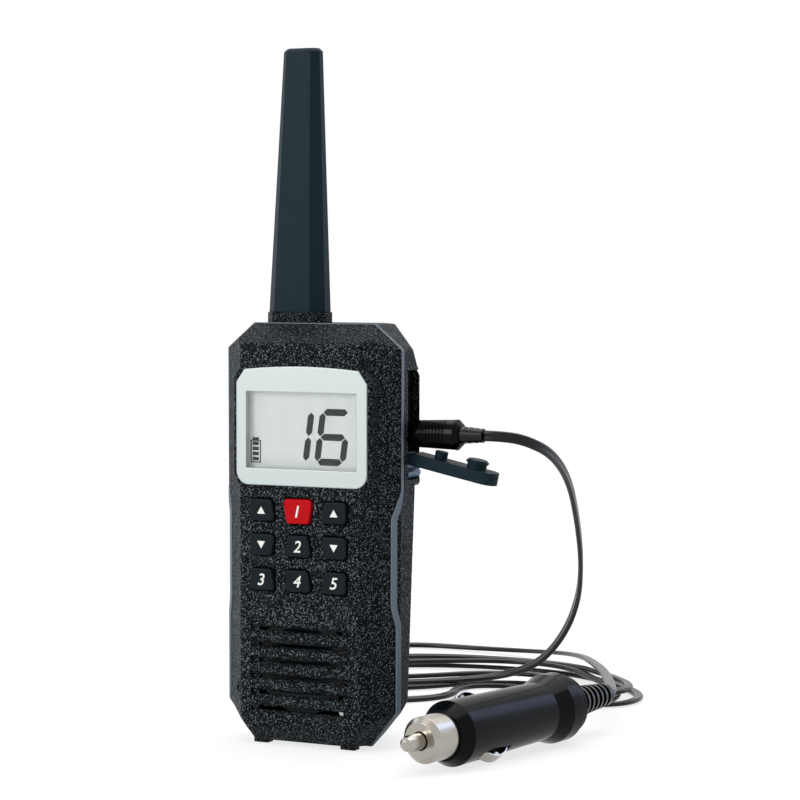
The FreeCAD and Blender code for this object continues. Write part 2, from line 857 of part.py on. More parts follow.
def belt_clip():
    """Sprung clip: a long plate with a foot turned towards the door and a thumb lever on top."""
    inner_y = back_y + clip_gap
    outer_y = inner_y + clip_thickness
    foot_y_end = back_y + clip_foot_gap
    side = [
        (inner_y, clip_top_z), (outer_y, clip_top_z), (outer_y, clip_bottom_z + clip_foot_height),
        (foot_y_end + clip_thickness, clip_bottom_z), (foot_y_end, clip_bottom_z + clip_thickness / 2),
        (inner_y, clip_bottom_z + clip_foot_height),
    ]
    points = [V(-clip_width / 2, y, z) for y, z in side]
    clip = prism(points, V(clip_width, 0, 0))
    pin_y = clip_pin_y()
    half = clip_knuckle_width / 2
    knuckle = rod(clip_knuckle_radius, V(-half, pin_y, clip_hinge_z), X_AXIS, clip_knuckle_width)
    web = box(-half, half, pin_y, inner_y,
              clip_hinge_z - clip_knuckle_radius, clip_hinge_z + clip_knuckle_radius)
    hole = rod(clip_pin_radius + clip_pin_gap, V(-clip_width, pin_y, clip_hinge_z), X_AXIS, 2 * clip_width)
    return clip.fuse([knuckle, web]).cut(hole).removeSplitter()


def clip_pin_y():
    return back_y + clip_gap - clip_knuckle_radius / 2 - moving_gap


def ear_start():
    """Inner face of an ear, past the spring beside the knuckle."""
    return clip_knuckle_width / 2 + clip_spring_wire * 3 + 2 * moving_gap


def clip_ears():
    """Two ears on the back that hold the clip's pin."""
    ears = []
    pin_y = clip_pin_y()
    ear_radius = back_y + clip_gap - moving_gap - pin_y
    for side in (-1, 1):
        x0 = min(side * ear_start(), side * (ear_start() + clip_ear_thickness))
        ear = rod(ear_radius, V(x0, pin_y, clip_hinge_z), X_AXIS, clip_ear_thickness)
        web = box(x0, x0 + clip_ear_thickness, back_y - wall / 2, pin_y,
                  clip_hinge_z - clip_ear_radius, clip_hinge_z + clip_ear_radius)
        hole = rod(clip_pin_radius, V(x0 - 1, pin_y, clip_hinge_z), X_AXIS, clip_ear_thickness + 2)
        ears.append(ear.fuse(web).cut(hole))
    return ears


def clip_pin():
    length = 2 * (ear_start() + clip_ear_thickness)
    return rod(clip_pin_radius, V(-length / 2, clip_pin_y(), clip_hinge_z), X_AXIS, length)


def clip_spring():
    """Torsion spring beside the knuckle, as a short sleeve of close turns with two legs."""
    x0 = clip_knuckle_width / 2 + moving_gap
    pin_y = clip_pin_y()
    length = 3 * clip_spring_wire
    radius = clip_pin_radius + clip_spring_wire
    sleeve = rod(radius, V(x0, pin_y, clip_hinge_z), X_AXIS, length)
    leg = box(x0, x0 + clip_spring_wire, back_y, pin_y, clip_hinge_z - radius,
              clip_hinge_z - radius + clip_spring_wire)
    return sleeve.fuse(leg).cut(rod(clip_pin_radius, V(x0 - 1, pin_y, clip_hinge_z), X_AXIS, length + 2))


def antenna_section(z, width, depth, chamfer, x):
    """Cut-cornered rectangle at a height."""
    w, d, c = width / 2, depth / 2, chamfer
    corners = [(w, -d + c), (w, d - c), (w - c, d), (-w + c, d),
               (-w, d - c), (-w, -d + c), (-w + c, -d), (w - c, -d)]
    points = [V(x + px, antenna_y + py, z) for px, py in corners]
    return Part.makePolygon(points + points[:1])


def antenna_parts():
    z0 = body_height + collar_height
    z1 = body_height + antenna_height
    base = antenna_section(z0, antenna_base_width, antenna_base_depth, antenna_base_chamfer, antenna_x)
    tip_x = antenna_x + antenna_lean
    edge = antenna_tip_round
    shoulder = antenna_section(z1 - edge, antenna_tip_width, antenna_tip_depth, antenna_tip_chamfer, tip_x)
    tip = antenna_section(z1, antenna_tip_width - 2 * edge, antenna_tip_depth - 2 * edge,
                          antenna_tip_chamfer - edge / 2, tip_x)
    sheath = Part.makeLoft([base, shoulder, tip], True, True)
    rod_low = body_height - wall - nut_height - rod_below_nut
    core = rod(rod_radius, V(antenna_x, antenna_y, rod_low), Z_AXIS, z1 - rod_short_of_tip - rod_low)
    grown = 2 * collar_proud
    foot = antenna_section(body_height, antenna_base_width + grown, antenna_base_depth + grown,
                           antenna_base_chamfer, antenna_x)
    collar = Part.Face(foot).extrude(V(0, 0, collar_height)).cut(core)
    start = V(antenna_x, antenna_y, body_height - wall - nut_height)
    turns = [math.radians(60 * i) for i in range(6)]
    corners = [start + V(nut_radius * math.cos(a), nut_radius * math.sin(a), 0) for a in turns]
    nut = prism(corners, V(0, 0, nut_height)).cut(core)
    return sheath.cut(core), core, collar, nut


def speaker_parts():
    """Basket, cone and magnet, turned about the speaker's own axis."""
    centre = V(0, inner_front_y, speaker_centre_z)

    def turned(profile):
        points = [V(r, y, 0) for r, y in profile]
        solid = Part.Face(Part.makePolygon(points + points[:1])).revolve(V(0, 0, 0), Y_AXIS, 360)
        solid.translate(centre)
        return solid

    r, t, d = speaker_radius, speaker_sheet, speaker_depth
    basket = turned([(r - 2, 0), (r, 0), (r, 2), (magnet_radius, d), (magnet_radius / 2, d),
                     (magnet_radius / 2, d - t), (magnet_radius - t, d - t), (r - t - 1, 2), (r - 2, 1)])
    cone = turned([(r - 2, 0), (r - 2, 1), (magnet_radius / 2, d - 2 * t), (0, d - 2 * t), (0, d - 3 * t),
                   (magnet_radius / 2 - t / 2, d - 3 * t), (r - 2 - 2 * t, 0)])
    magnet = rod(magnet_radius, centre + V(0, d, 0), Y_AXIS, magnet_depth)
    return basket, cone, magnet


def dc_plug_parts():
    """Plug, its metal barrel and its strain relief, on one line along +X."""
    x0 = half_width - bay_depth + plug_start_gap
    x1 = x0 + plug_neck_length
    x2 = x1 + plug_body_length
    line = V(0, bay_centre_y, dc_jack_z)
    profile = [(x0, 0), (x0, plug_neck_radius), (x1, plug_neck_radius), (x1, plug_small_radius)]
    groove_start = x1 + 2 * plug_groove_pitch
    slope = (plug_big_radius - plug_small_radius) / plug_body_length
    for i in range(plug_groove_count):
        x = groove_start + i * plug_groove_pitch
        r = plug_small_radius + slope * (x - x1)
        profile += [(x, r), (x, r - plug_groove_depth), (x + plug_groove_width, r - plug_groove_depth),
                    (x + plug_groove_width, r)]
    profile += [(x2 - plug_end_bevel, plug_big_radius), (x2, plug_big_radius - plug_end_bevel), (x2, 0)]
    points = [V(x, r, 0) for x, r in profile]
    body = Part.Face(Part.makePolygon(points + points[:1])).revolve(V(0, 0, 0), X_AXIS, 360)
    barrel = rod(dc_barrel_radius, V(x0 - plug_barrel_length, 0, 0), X_AXIS, plug_barrel_length)
    bore_start = V(x0 - plug_barrel_length - 1, 0, 0)
    barrel = barrel.cut(rod(dc_barrel_bore, bore_start, X_AXIS, plug_barrel_length))
    relief = Part.makeCone(relief_radius, relief_end_radius, relief_length, V(x2, 0, 0), X_AXIS)
    notches = []
    for i in range(relief_notch_count):
        x = x2 + relief_length * (i + 0.7) / (relief_notch_count + 0.6)
        for side in (-1, 1):
            depth = relief_radius if side > 0 else -relief_radius - 1
            notches.append(box(x, x + relief_notch_width, -relief_radius, relief_radius,
                               depth - (relief_notch_depth if side > 0 else 0),
                               depth + 1 + (0 if side > 0 else relief_notch_depth)))
    relief = relief.cut(notches)
    for solid in (body, barrel, relief):
        solid.translate(line)
    return body, barrel, relief, V(x2 + relief_length, bay_centre_y, dc_jack_z)


def car_tilt():
    """The plug rests on its shoulder and on its flange, so its line rises a little to the back."""
    return math.asin((car_flange_radius - car_body_radius) / (car_flange_at - car_shoulder_at))


def car_place(solid):
    """Move a solid drawn along +X from the plug's tip to where the plug lies."""
    tilt = car_tilt()
    z0 = car_body_radius - car_shoulder_at * math.sin(tilt) + floor_gap
    solid.rotate(V(0, 0, 0), Y_AXIS, -math.degrees(tilt))
    solid.rotate(V(0, 0, 0), Z_AXIS, car_heading_deg)
    solid.translate(V(car_tip.x, car_tip.y, z0))
    return solid


def car_point(s):
    """A point on the plug's line, s from its tip."""
    tilt = car_tilt()
    heading = math.radians(car_heading_deg)
    z0 = car_body_radius - car_shoulder_at * math.sin(tilt) + floor_gap
    flat = s * math.cos(tilt)
    x = car_tip.x + flat * math.cos(heading)
    y = car_tip.y + flat * math.sin(heading)
    return V(x, y, z0 + s * math.sin(tilt))


def revolved(profile):
    points = [V(s, r, 0) for s, r in profile]
    return Part.Face(Part.makePolygon(points + points[:1])).revolve(V(0, 0, 0), X_AXIS, 360)


def car_plug_parts():
    """All pieces of the 12 volt plug, drawn along +X from the tip at x 0."""
    w = car_shell_wall
    bore = car_fuse_radius + w
    nose_start = car_tip_length
    nose = revolved([
        (nose_start, car_tip_radius + moving_gap), (nose_start, car_nose_radius - car_nose_bevel),
        (nose_start + car_nose_bevel, car_nose_radius), (car_nose_end, car_nose_radius),
        (car_nose_end, bore - fit_gap), (nose_start + w, bore - fit_gap),
        (nose_start + w, car_tip_radius + moving_gap),
    ])
    shell = revolved([
        (car_nose_end, bore), (car_nose_end, car_shell_front_radius), (car_shoulder_at, car_body_radius),
        (car_flare_at, car_waist_radius), (car_flange_at, car_flange_radius),
        (car_flange_at + car_flange_length, car_flange_radius), (car_flange_at + car_flange_length, bore),
    ])
    half = car_contact_length / 2
    slots = []
    for side in (-1, 1):
        edge0, edge1 = sorted((0, side * (car_body_radius + w)))
        across = car_contact_width / 2 + moving_gap
        slots.append(box(car_contact_at - half - moving_gap, car_contact_at + half + moving_gap,
                         -across, across, edge0, edge1))
    shell = shell.cut([s.rotated(V(0, 0, 0), X_AXIS, car_contact_turn_deg) for s in slots])
    tip_back = nose_start + car_tip_hidden
    tip = revolved([
        (0, 0), (0, car_tip_radius * 0.45), (0.9, car_tip_radius * 0.8), (2.4, car_tip_radius),
        (tip_back, car_tip_radius), (tip_back, 0),
    ])
    spring_start = tip_back + car_tip_travel + moving_gap
    tip_spring_end = spring_start + car_spring_length
    ring = [(spring_start, car_spring_radius - car_spring_wire), (spring_start, car_spring_radius),
            (tip_spring_end, car_spring_radius), (tip_spring_end, car_spring_radius - car_spring_wire)]
    spring = revolved(ring)
    fuse = rod(car_fuse_radius, V(tip_spring_end, 0, 0), X_AXIS, car_fuse_length)
    block = rod(bore - fit_gap, V(tip_spring_end + car_fuse_length, 0, 0), X_AXIS,
                car_flange_at + car_flange_length - tip_spring_end - car_fuse_length)
    disc = revolved([
        (car_flange_at + car_flange_length, 0), (car_flange_at + car_flange_length, car_disc_radius),
        (car_disc_end - 1, car_disc_radius), (car_disc_end, car_disc_radius - 1), (car_disc_end, 0),
    ]).fuse(block).removeSplitter()
    profile = [(car_disc_end, 0), (car_disc_end, car_relief_front_radius)]
    span = car_relief_end - car_disc_end
    pitch = span / (car_relief_ribs + 1)
    for i in range(car_relief_ribs):
        s = car_disc_end + pitch * (i + 1) - car_relief_rib_width / 2
        r = car_relief_front_radius + (car_relief_back_radius - car_relief_front_radius) * (i + 1) / (
            car_relief_ribs + 1)
        profile += [(s, r), (s, r - car_relief_rib_depth),
                    (s + car_relief_rib_width, r - car_relief_rib_depth), (s + car_relief_rib_width, r)]
    profile += [(car_relief_end, car_relief_back_radius), (car_relief_end, 0)]
    relief = revolved(profile)
    return nose, shell, tip, spring, fuse, disc, relief


def car_contact(side):
    """One bowed side contact, an arched strip that sits in its slot and stands proud."""
    half = car_contact_length / 2
    top = car_body_radius + car_contact_proud
    foot = car_body_radius - car_contact_travel - 1.5
    t = car_contact_thickness
    start, end = car_contact_at - half, car_contact_at + half
    outer = Part.Arc(V(start, 0, foot), V(car_contact_at, 0, top), V(end, 0, foot))
    inner = Part.Arc(V(end, 0, foot - t), V(car_contact_at, 0, top - t), V(start, 0, foot - t))
    ends = [Part.LineSegment(V(end, 0, foot), V(end, 0, foot - t)),
            Part.LineSegment(V(start, 0, foot - t), V(start, 0, foot))]
    face = Part.Face(Part.Wire([outer.toShape(), ends[0].toShape(), inner.toShape(), ends[1].toShape()]))
    strip = face.extrude(V(0, car_contact_width, 0))
    strip.translate(V(0, -car_contact_width / 2, 0))
    low = car_fuse_radius + car_contact_travel + moving_gap
    stem = box(car_contact_at - 1, car_contact_at + 1, -1, 1, low, top - t / 2)
    strip = strip.fuse(stem).removeSplitter()
    turn = car_contact_turn_deg + (0 if side > 0 else 180)
    return car_place(strip.rotated(V(0, 0, 0), X_AXIS, turn))


def rounded_route(points):
    """Straight runs joined by arcs whose radius is 0.45 of the shorter run over the half turn's tangent."""
    edges = []
    here = points[0]
    radii = []
    for i in range(1, len(points) - 1):
        before = (points[i] - points[i - 1])
        after = (points[i + 1] - points[i])
        reach = 0.45 * min(before.Length, after.Length)
        before.normalize()
        after.normalize()
        start = points[i] - before * reach
        end = points[i] + after * reach
        half_turn = before.getAngle(after) / 2
        radius = reach / math.tan(half_turn)
        inward = (after - before)
        inward.normalize()
        middle = points[i] + inward * (radius / math.cos(half_turn) - radius)
        edges.append(Part.LineSegment(here, start).toShape())
        edges.append(Part.Arc(start, middle, end).toShape())
        radii.append(round(radius, 1))
        here = end
    edges.append(Part.LineSegment(here, points[-1]).toShape())
    return Part.Wire(edges), radii


def tube(path, start, direction, radius):
    """Round tube along a smooth wire."""
    ring = Part.Wire(Part.makeCircle(radius, start, direction))
    shell = Part.BRepOffsetAPI.MakePipeShell(path)
    shell.add(ring)
    shell.build()
    shell.makeSolid()
    return shell.shape()


def lead_tube(points, name):
    """One free stretch of the cord, its radii and its volume against section times length."""
    path, radii = rounded_route(points)
    solid = tube(path, points[0], points[1] - points[0], cord_diameter / 2)
    plain = math.pi * (cord_diameter / 2) ** 2 * path.Length
    print(name, "length", round(path.Length, 1), "radii", radii)
    print(name, "volume over section times length", round(solid.Volume / plain, 4))
    return solid, path.Length


def hank_turns_in(eighth):
    """Turns wound inwards at a point of the hank: in on the upper layer, then out on the floor."""
    middle = (hank_first_eighth + hank_last_eighth) / 2
    innermost = hank_first_turns_in + (middle - hank_first_eighth) / 8
    if eighth <= middle:
        return hank_first_turns_in + (eighth - hank_first_eighth) / 8
    share = (eighth - middle) / (hank_last_eighth - middle)
    return innermost + (hank_last_turns_in - innermost) * share


def hank_level(eighth):
    """Height of the cord's middle: the upper layer first, then one climb down, then the floor."""
    floor = cord_diameter / 2 + floor_gap
    step = cord_diameter + layer_gap
    down = min(max(eighth - hank_climb_eighth, 0.0), 2.0) / 2.0
    return floor + step * (1 - down * down * (3 - 2 * down))


def hank_corner(eighth):
    """A corner of the hank as reach, side, way along the hank and way across it, and its heading."""
    turns = hank_turns_in(eighth)
    left = math.radians(hank_left_heading_deg)
    right = math.radians(hank_right_heading_deg)
    waist = (left + right) / 2
    left_step = hank_left_half_step * turns
    right_step = hank_right_half_step * turns
    corners = [
        (hank_near_waist_right, hank_near_waist_step * turns - hank_near_waist, -1, 0, waist),
        (-hank_left_near_reach, left_step - hank_left_near_half, -1, 0, left),
        (hank_left_end_step * turns - hank_left_end, 0, 0, 1, left),
        (-hank_left_far_reach, hank_left_far_half - left_step, 1, 0, left),
        (0, hank_far_waist - hank_far_waist_step * turns, 1, 0, waist),
        (hank_right_far_reach, hank_right_far_half - right_step, 1, 0, right),
        (hank_right_end - hank_right_end_step * turns, 0, 0, -1, right),
        (hank_right_near_reach, right_step - hank_right_near_half, -1, 0, right),
    ]
    return corners[eighth % 8]


def hank_point(eighth):
    """A corner's place on the floor plan and the cord's height there."""
    along, across, _, _, heading = hank_corner(eighth)
    x = hank_centre.x + along * math.cos(heading) - across * math.sin(heading)
    y = hank_centre.y + along * math.sin(heading) + across * math.cos(heading)
    return V(x, y, hank_level(eighth))


def hank_direction(eighth):
    """The way the cord runs at a corner, with its slope on the climb."""
    _, _, along, across, heading = hank_corner(eighth)
    if eighth % 8 == 0:
        heading = math.radians(hank_near_waist_heading_deg)
    flat = V(along * math.cos(heading) - across * math.sin(heading),
             along * math.sin(heading) + across * math.cos(heading), 0)
    if eighth == hank_climb_eighth + 1:
        chord = hank_point(eighth + 1) - hank_point(eighth - 1)
        flat.z = chord.z / math.hypot(chord.x, chord.y)
    flat.normalize()
    return flat


def biarc(p, t, q, s):
    """Two arcs from p to q that leave along t and arrive along s."""
    v = q - p
    w = t + s
    a = 2 * (1 - t.dot(s))
    b = v.dot(w)
    if a < 1e-9:
        d = v.Length / 2
    else:
        d = (-b + math.sqrt(b * b + a * v.dot(v))) / a
    joint = (p + t * d + q - s * d) * 0.5
    edges = []
    for start, way, end in ((p, t, joint), (joint, None, q)):
        if way is None:
            way = (q - s * d) - (p + t * d)
            way.normalize()
        chord = end - start
        normal = way.cross(chord)
        if normal.Length < 1e-6 * chord.Length:
            edges.append(Part.LineSegment(start, end).toShape())
            continue
        side = normal.cross(way)
        side.normalize()
        radius = chord.dot(chord) / (2 * side.dot(chord))
        centre = start + side * radius
        half = (start + end) * 0.5 - centre
        half.normalize()
        middle = centre + half * abs(radius)
        edges.append(Part.Arc(start, middle, end).toShape())
    return edges


def hank_wire():
    """The hank's middle line, with a straight run of one diameter at each end."""
    edges = []
    first = hank_point(hank_first_eighth)
    lead_in = first - hank_direction(hank_first_eighth) * cord_diameter
    edges.append(Part.LineSegment(lead_in, first).toShape())
    for i in range(hank_first_eighth, hank_last_eighth):
        edges += biarc(hank_point(i), hank_direction(i), hank_point(i + 1), hank_direction(i + 1))
    last = hank_point(hank_last_eighth)
    lead_out = last + hank_direction(hank_last_eighth) * cord_diameter
    edges.append(Part.LineSegment(last, lead_out).toShape())
    return Part.Wire(edges), lead_in, lead_out


def least_gap(wire, diameter):
    """Least gap of a tube to itself, from points along its middle line."""
    points = wire.discretize(Distance=2.0)
    step = wire.Length / (len(points) - 1)
    apart = int(3.2 * diameter / step) + 1
    least = 1e9
    for i in range(len(points)):
        for j in range(i + apart, len(points)):
            least = min(least, points[i].distanceToPoint(points[j]))
    return least - diameter


def make_housing():
    block = rounded_block()
    cavity = body_block(wall)
    save(front_housing(block, cavity), "front_housing")
    save(rear_housing(block, cavity), "rear_housing")
    save(gasket(cavity), "body_gasket")


def make_display():
    back = front_y - bezel_proud + bezel_thickness
    bezel = plate(bezel_outline(0), front_y - bezel_proud - pad_proud, back)
    edges = [e for e in bezel.Edges if e.BoundBox.YMax < front_y - bezel_proud - pad_proud + 0.01]
    bezel = bezel.makeChamfer(bezel_proud / 2, edges)
    save(bezel.cut(window_box(0, front_y - wall, front_y + wall)), "display_bezel")
    lens_back = inner_front_y
    save(window_box(lens_margin, back, lens_back), "display_lens")
    lcd_back = inner_front_y + lcd_thickness
    save(window_box(lens_margin + lcd_margin, lens_back, lcd_back), "lcd_panel")
    save(window_box(lens_margin + lcd_margin, lcd_back, board_y), "backlight_frame")


def make_keypad():
    flange_y = inner_front_y + moving_gap
    mat_back = board_y - dome_height()
    for (column, row), name in zip(key_places, key_names):
        cap = key_plate(column, row, 0, front_y - key_proud, flange_y)
        front = [e for e in cap.Edges if e.BoundBox.YMax < front_y - key_proud + 0.01]
        cap = cap.makeFillet(key_corner / 3, front)
        flange = key_plate(column, row, key_flange, flange_y, flange_y + key_flange_thickness)
        save(cap.fuse(flange).removeSplitter(), name)
    half_x = key_pitch_x + key_width / 2 + mat_margin
    half_z = key_pitch_z + key_height / 2 + mat_margin
    mat = box(keypad_x - half_x, keypad_x + half_x, mat_back - mat_thickness, mat_back,
              key_centre_z - half_z, key_centre_z + half_z)
    save(mat, "keypad_mat")
    domes = []
    for column, row in key_places:
        place = V(keypad_x + column * key_pitch_x, mat_back, key_centre_z + row * key_pitch_z)
        domes.append(rod(dome_radius, place, Y_AXIS, dome_height()))
    save(group(domes), "key_domes")


def dome_height():
    """What is left between the mat and the board once the keys have room to travel."""
    flange_back = front_y + wall + moving_gap + key_flange_thickness
    return board_y - (flange_back + key_travel + moving_gap) - mat_thickness


def make_electronics():
    half = board_width / 2
    save(box(-half, half, board_y, board_back_y, board_bottom_z, board_top_z), "main_board")
    cans_back_y = board_back_y + can_height
    upper = box(can_left_x, upper_can_right_x, board_back_y, cans_back_y, upper_can_bottom_z, upper_can_top_z)
    lower = box(can_left_x, lower_can_right_x, board_back_y, cans_back_y, lower_can_bottom_z, lower_can_top_z)
    save(group([upper, lower]), "shield_cans")
    basket, cone, magnet = speaker_parts()
    save(basket, "speaker_frame")
    save(cone, "speaker_cone")
    save(magnet, "speaker_magnet")
    save(rod(mic_radius, V(mic_x, inner_front_y, mic_z), Y_AXIS, mic_depth), "microphone")
    save(side_switches(), "side_switches")


def make_battery():
    seat_y = back_y - door_thickness - seal_thickness
    save(box(-battery_width / 2, battery_width / 2, battery_front_y, seat_y + fit_gap,
             battery_bottom_z, battery_top_z), "battery_pack")
    half = door_width / 2 - door_gap
    low = door_bottom_z + door_gap
    high = door_top_z - door_gap
    door = box(-half, half, seat_y + seal_thickness, back_y, low, high)
    corners = [e for e in door.Edges if e.BoundBox.YLength > wall]
    door = door.makeFillet(door_gap * 3, corners)
    outer = box(-half, half, seat_y, seat_y + seal_thickness, low, high)
    inner = box(-half + seal_width, half - seal_width, seat_y, seat_y + seal_thickness,
                low + seal_width, high - seal_width)
    save(outer.cut(inner), "battery_seal")
    screws = []
    holes = []
    for side in (-1, 1):
        base = V(side * door_screw_x, back_y - door_screw_length, door_screw_z)
        head = V(base.x, back_y - screw_head_height, base.z)
        screws.append(rod(screw_shank, base, Y_AXIS, door_screw_length).fuse(
            rod(screw_head, head, Y_AXIS, screw_head_height)).removeSplitter())
        holes.append(rod(screw_shank, base, Y_AXIS, door_screw_length))
        holes.append(rod(screw_head, head, Y_AXIS, screw_head_height + wall))
    save(door.cut(holes), "battery_door")
    save(group(screws), "door_screws")
    save(group([contact_block(i) for i in (-1, 0, 1)]), "battery_contacts")


def make_screws():
    screws = []
    for x, z in screw_places():
        head = rod(screw_head, V(x, screw_head_y - screw_head_height, z), Y_AXIS, screw_head_height)
        shank = rod(screw_shank, V(x, inner_front_y, z), Y_AXIS, screw_head_y - inner_front_y)
        screws.append(head.fuse(shank).removeSplitter())
    save(group(screws), "housing_screws")


def make_jacks():
    save(jack_panel(), "jack_panel")
    save(jack_body(dc_jack_z, dc_jack_height, dc_barrel_radius + dc_bore_gap), "dc_jack")
    save(jack_body(accessory_jack_z, accessory_jack_height, accessory_bore_radius), "accessory_jack")
    save(jack_flap(), "jack_flap")
    save(flap_anchor(), "flap_anchor")


def make_side_keys():
    save(ptt_button(), "ptt_button")
    save(power_button(), "power_button")


def make_antenna():
    sheath, core, collar, nut = antenna_parts()
    save(sheath, "antenna_sheath")
    save(core, "antenna_core")
    save(collar, "antenna_collar")
    save(nut, "antenna_nut")


def make_clip():
    save(belt_clip(), "belt_clip")
    save(clip_pin(), "clip_pin")
    save(clip_spring(), "clip_spring")


def make_lead():
    body, barrel, relief, cord_start = dc_plug_parts()
    save(body, "dc_plug_body")
    save(barrel, "dc_plug_barrel")
    save(relief, "dc_strain_relief")
    hank_path, hank_in, hank_out = hank_wire()
    hank = tube(hank_path, hank_in, hank_direction(hank_first_eighth), cord_diameter / 2)
    plain = math.pi * (cord_diameter / 2) ** 2 * hank_path.Length
    print("hank length", round(hank_path.Length, 1), "volume ratio", round(hank.Volume / plain, 4),
          "least gap to itself", round(least_gap(hank_path, cord_diameter), 2))
    save(hank, "lead_hank")
    free_points = [cord_start, cord_start + X_AXIS * cord_exit_run] + [V(*p) for p in free_route]
    free_points += [hank_in - hank_direction(hank_first_eighth) * cord_join_run, hank_in]
    free, free_length = lead_tube(free_points, "lead_free")
    save(free, "lead_free")
    tail_points = [hank_out, hank_out + hank_direction(hank_last_eighth) * cord_join_run]
    tail_points += [V(*p) for p in tail_route]
    tail_points += [car_point(car_relief_end + tail_end_run), car_point(car_relief_end)]
    tail, tail_length = lead_tube(tail_points, "lead_tail")
    save(tail, "lead_tail")
    print("lead length", round(free_length + tail_length + hank_path.Length))
    names = ["car_plug_nose", "car_plug_shell", "car_plug_tip", "tip_spring", "car_plug_fuse",
             "car_plug_disc", "car_strain_relief"]
    for solid, name in zip(car_plug_parts(), names):
        save(car_place(solid), name)
    save(car_contact(1), "contact_upper")
    save(car_contact(-1), "contact_lower")


# Cord routes: chosen points between the plug, the hank and the car plug
free_route = [
    (68.3, 3.4, 97.9),
    (71.2, 15.0, 93.6),
    (69.8, 32.0, 84.4),
    (65.6, 49.0, 70.4),
    (60.2, 66.0, 54.8),
    (53.0, 81.5, 39.6),
    (42.5, 94.0, 25.0),
    (29.5, 101.5, 12.8),
    (13.5, 103.5, 7.2),
]
tail_route = [
    (-97.0, 127.0, 1.6),
    (-94.5, 155.0, 1.65),
    (-84.0, 182.0, 1.6),
    (-65.0, 200.0, 1.65),
    (-40.0, 199.0, 1.8),
    (-19.0, 192.5, 2.6),
    (1.0, 179.5, 4.8),
    (19.0, 157.5, 7.8),
    (35.0, 130.5, 9.4),
    (48.0, 109.5, 10.2),
    (60.0, 87.5, 11.1),
    (70.2, 68.5, 11.9),
]

make_housing()
make_display()
make_keypad()
make_electronics()
make_battery()
make_screws()
make_jacks()
make_side_keys()
make_antenna()
make_clip()
make_lead()
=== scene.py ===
# Handheld VHF marine radio with its 12 volt lead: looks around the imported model.
import bpy
import json
import math
import numpy as np
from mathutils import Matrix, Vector


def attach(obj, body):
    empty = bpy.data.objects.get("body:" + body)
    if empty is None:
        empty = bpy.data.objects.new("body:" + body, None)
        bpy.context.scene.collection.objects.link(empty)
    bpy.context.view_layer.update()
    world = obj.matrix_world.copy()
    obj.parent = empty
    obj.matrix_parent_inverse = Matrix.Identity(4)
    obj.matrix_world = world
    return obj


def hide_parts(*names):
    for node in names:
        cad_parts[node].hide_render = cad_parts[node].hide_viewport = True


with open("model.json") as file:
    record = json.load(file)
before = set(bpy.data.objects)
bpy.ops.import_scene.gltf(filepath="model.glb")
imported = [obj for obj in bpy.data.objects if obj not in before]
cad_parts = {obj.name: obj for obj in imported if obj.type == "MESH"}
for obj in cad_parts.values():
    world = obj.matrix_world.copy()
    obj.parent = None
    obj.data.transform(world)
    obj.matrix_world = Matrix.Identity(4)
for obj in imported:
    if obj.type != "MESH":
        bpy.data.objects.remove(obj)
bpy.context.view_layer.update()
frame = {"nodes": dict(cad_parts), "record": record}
nodes = frame["nodes"]
mm = 0.001


def hexLinear(code, alpha=1.0):
    # sRGB hex to linear light: the low part is a straight line, the rest a power of 2.4
    values = [int(code[i:i + 2], 16) / 255 for i in (1, 3, 5)]
    linear = [v / 12.92 if v <= 0.04045 else ((v + 0.055) / 1.055) ** 2.4 for v in values]
    return (*linear, alpha)


# Camera: at the photograph's angle, with its lens
camera = {
    "azimuthDeg": 28.0,
    "elevationDeg": 3.59,
    "distance": 0.869,
    "focalPixels": 2720.0,
    "imagePixels": 800.0,
    "target": (0.0, -0.005, 0.100),
    "targetPixel": (321.8, 429.9),
    "sensorMm": 36.0,
}


def makeCamera():
    a, e = math.radians(camera["azimuthDeg"]), math.radians(camera["elevationDeg"])
    back = Vector((math.sin(a) * math.cos(e), -math.cos(a) * math.cos(e), math.sin(e)))
    data = bpy.data.cameras.new("camera")
    data.sensor_width = camera["sensorMm"]
    data.lens = camera["focalPixels"] / camera["imagePixels"] * camera["sensorMm"]
    data.shift_x = 0.5 - camera["targetPixel"][0] / camera["imagePixels"]
    data.shift_y = camera["targetPixel"][1] / camera["imagePixels"] - 0.5
    data.clip_start, data.clip_end = 0.02, 20.0
    viewer = bpy.data.objects.new("camera", data)
    bpy.context.scene.collection.objects.link(viewer)
    viewer.location = Vector(camera["target"]) + back * camera["distance"]
    viewer.rotation_mode = "QUATERNION"
    viewer.rotation_quaternion = (-back).to_track_quat("-Z", "Y")
    bpy.context.scene.camera = viewer
    print("stage: camera")


makeCamera()


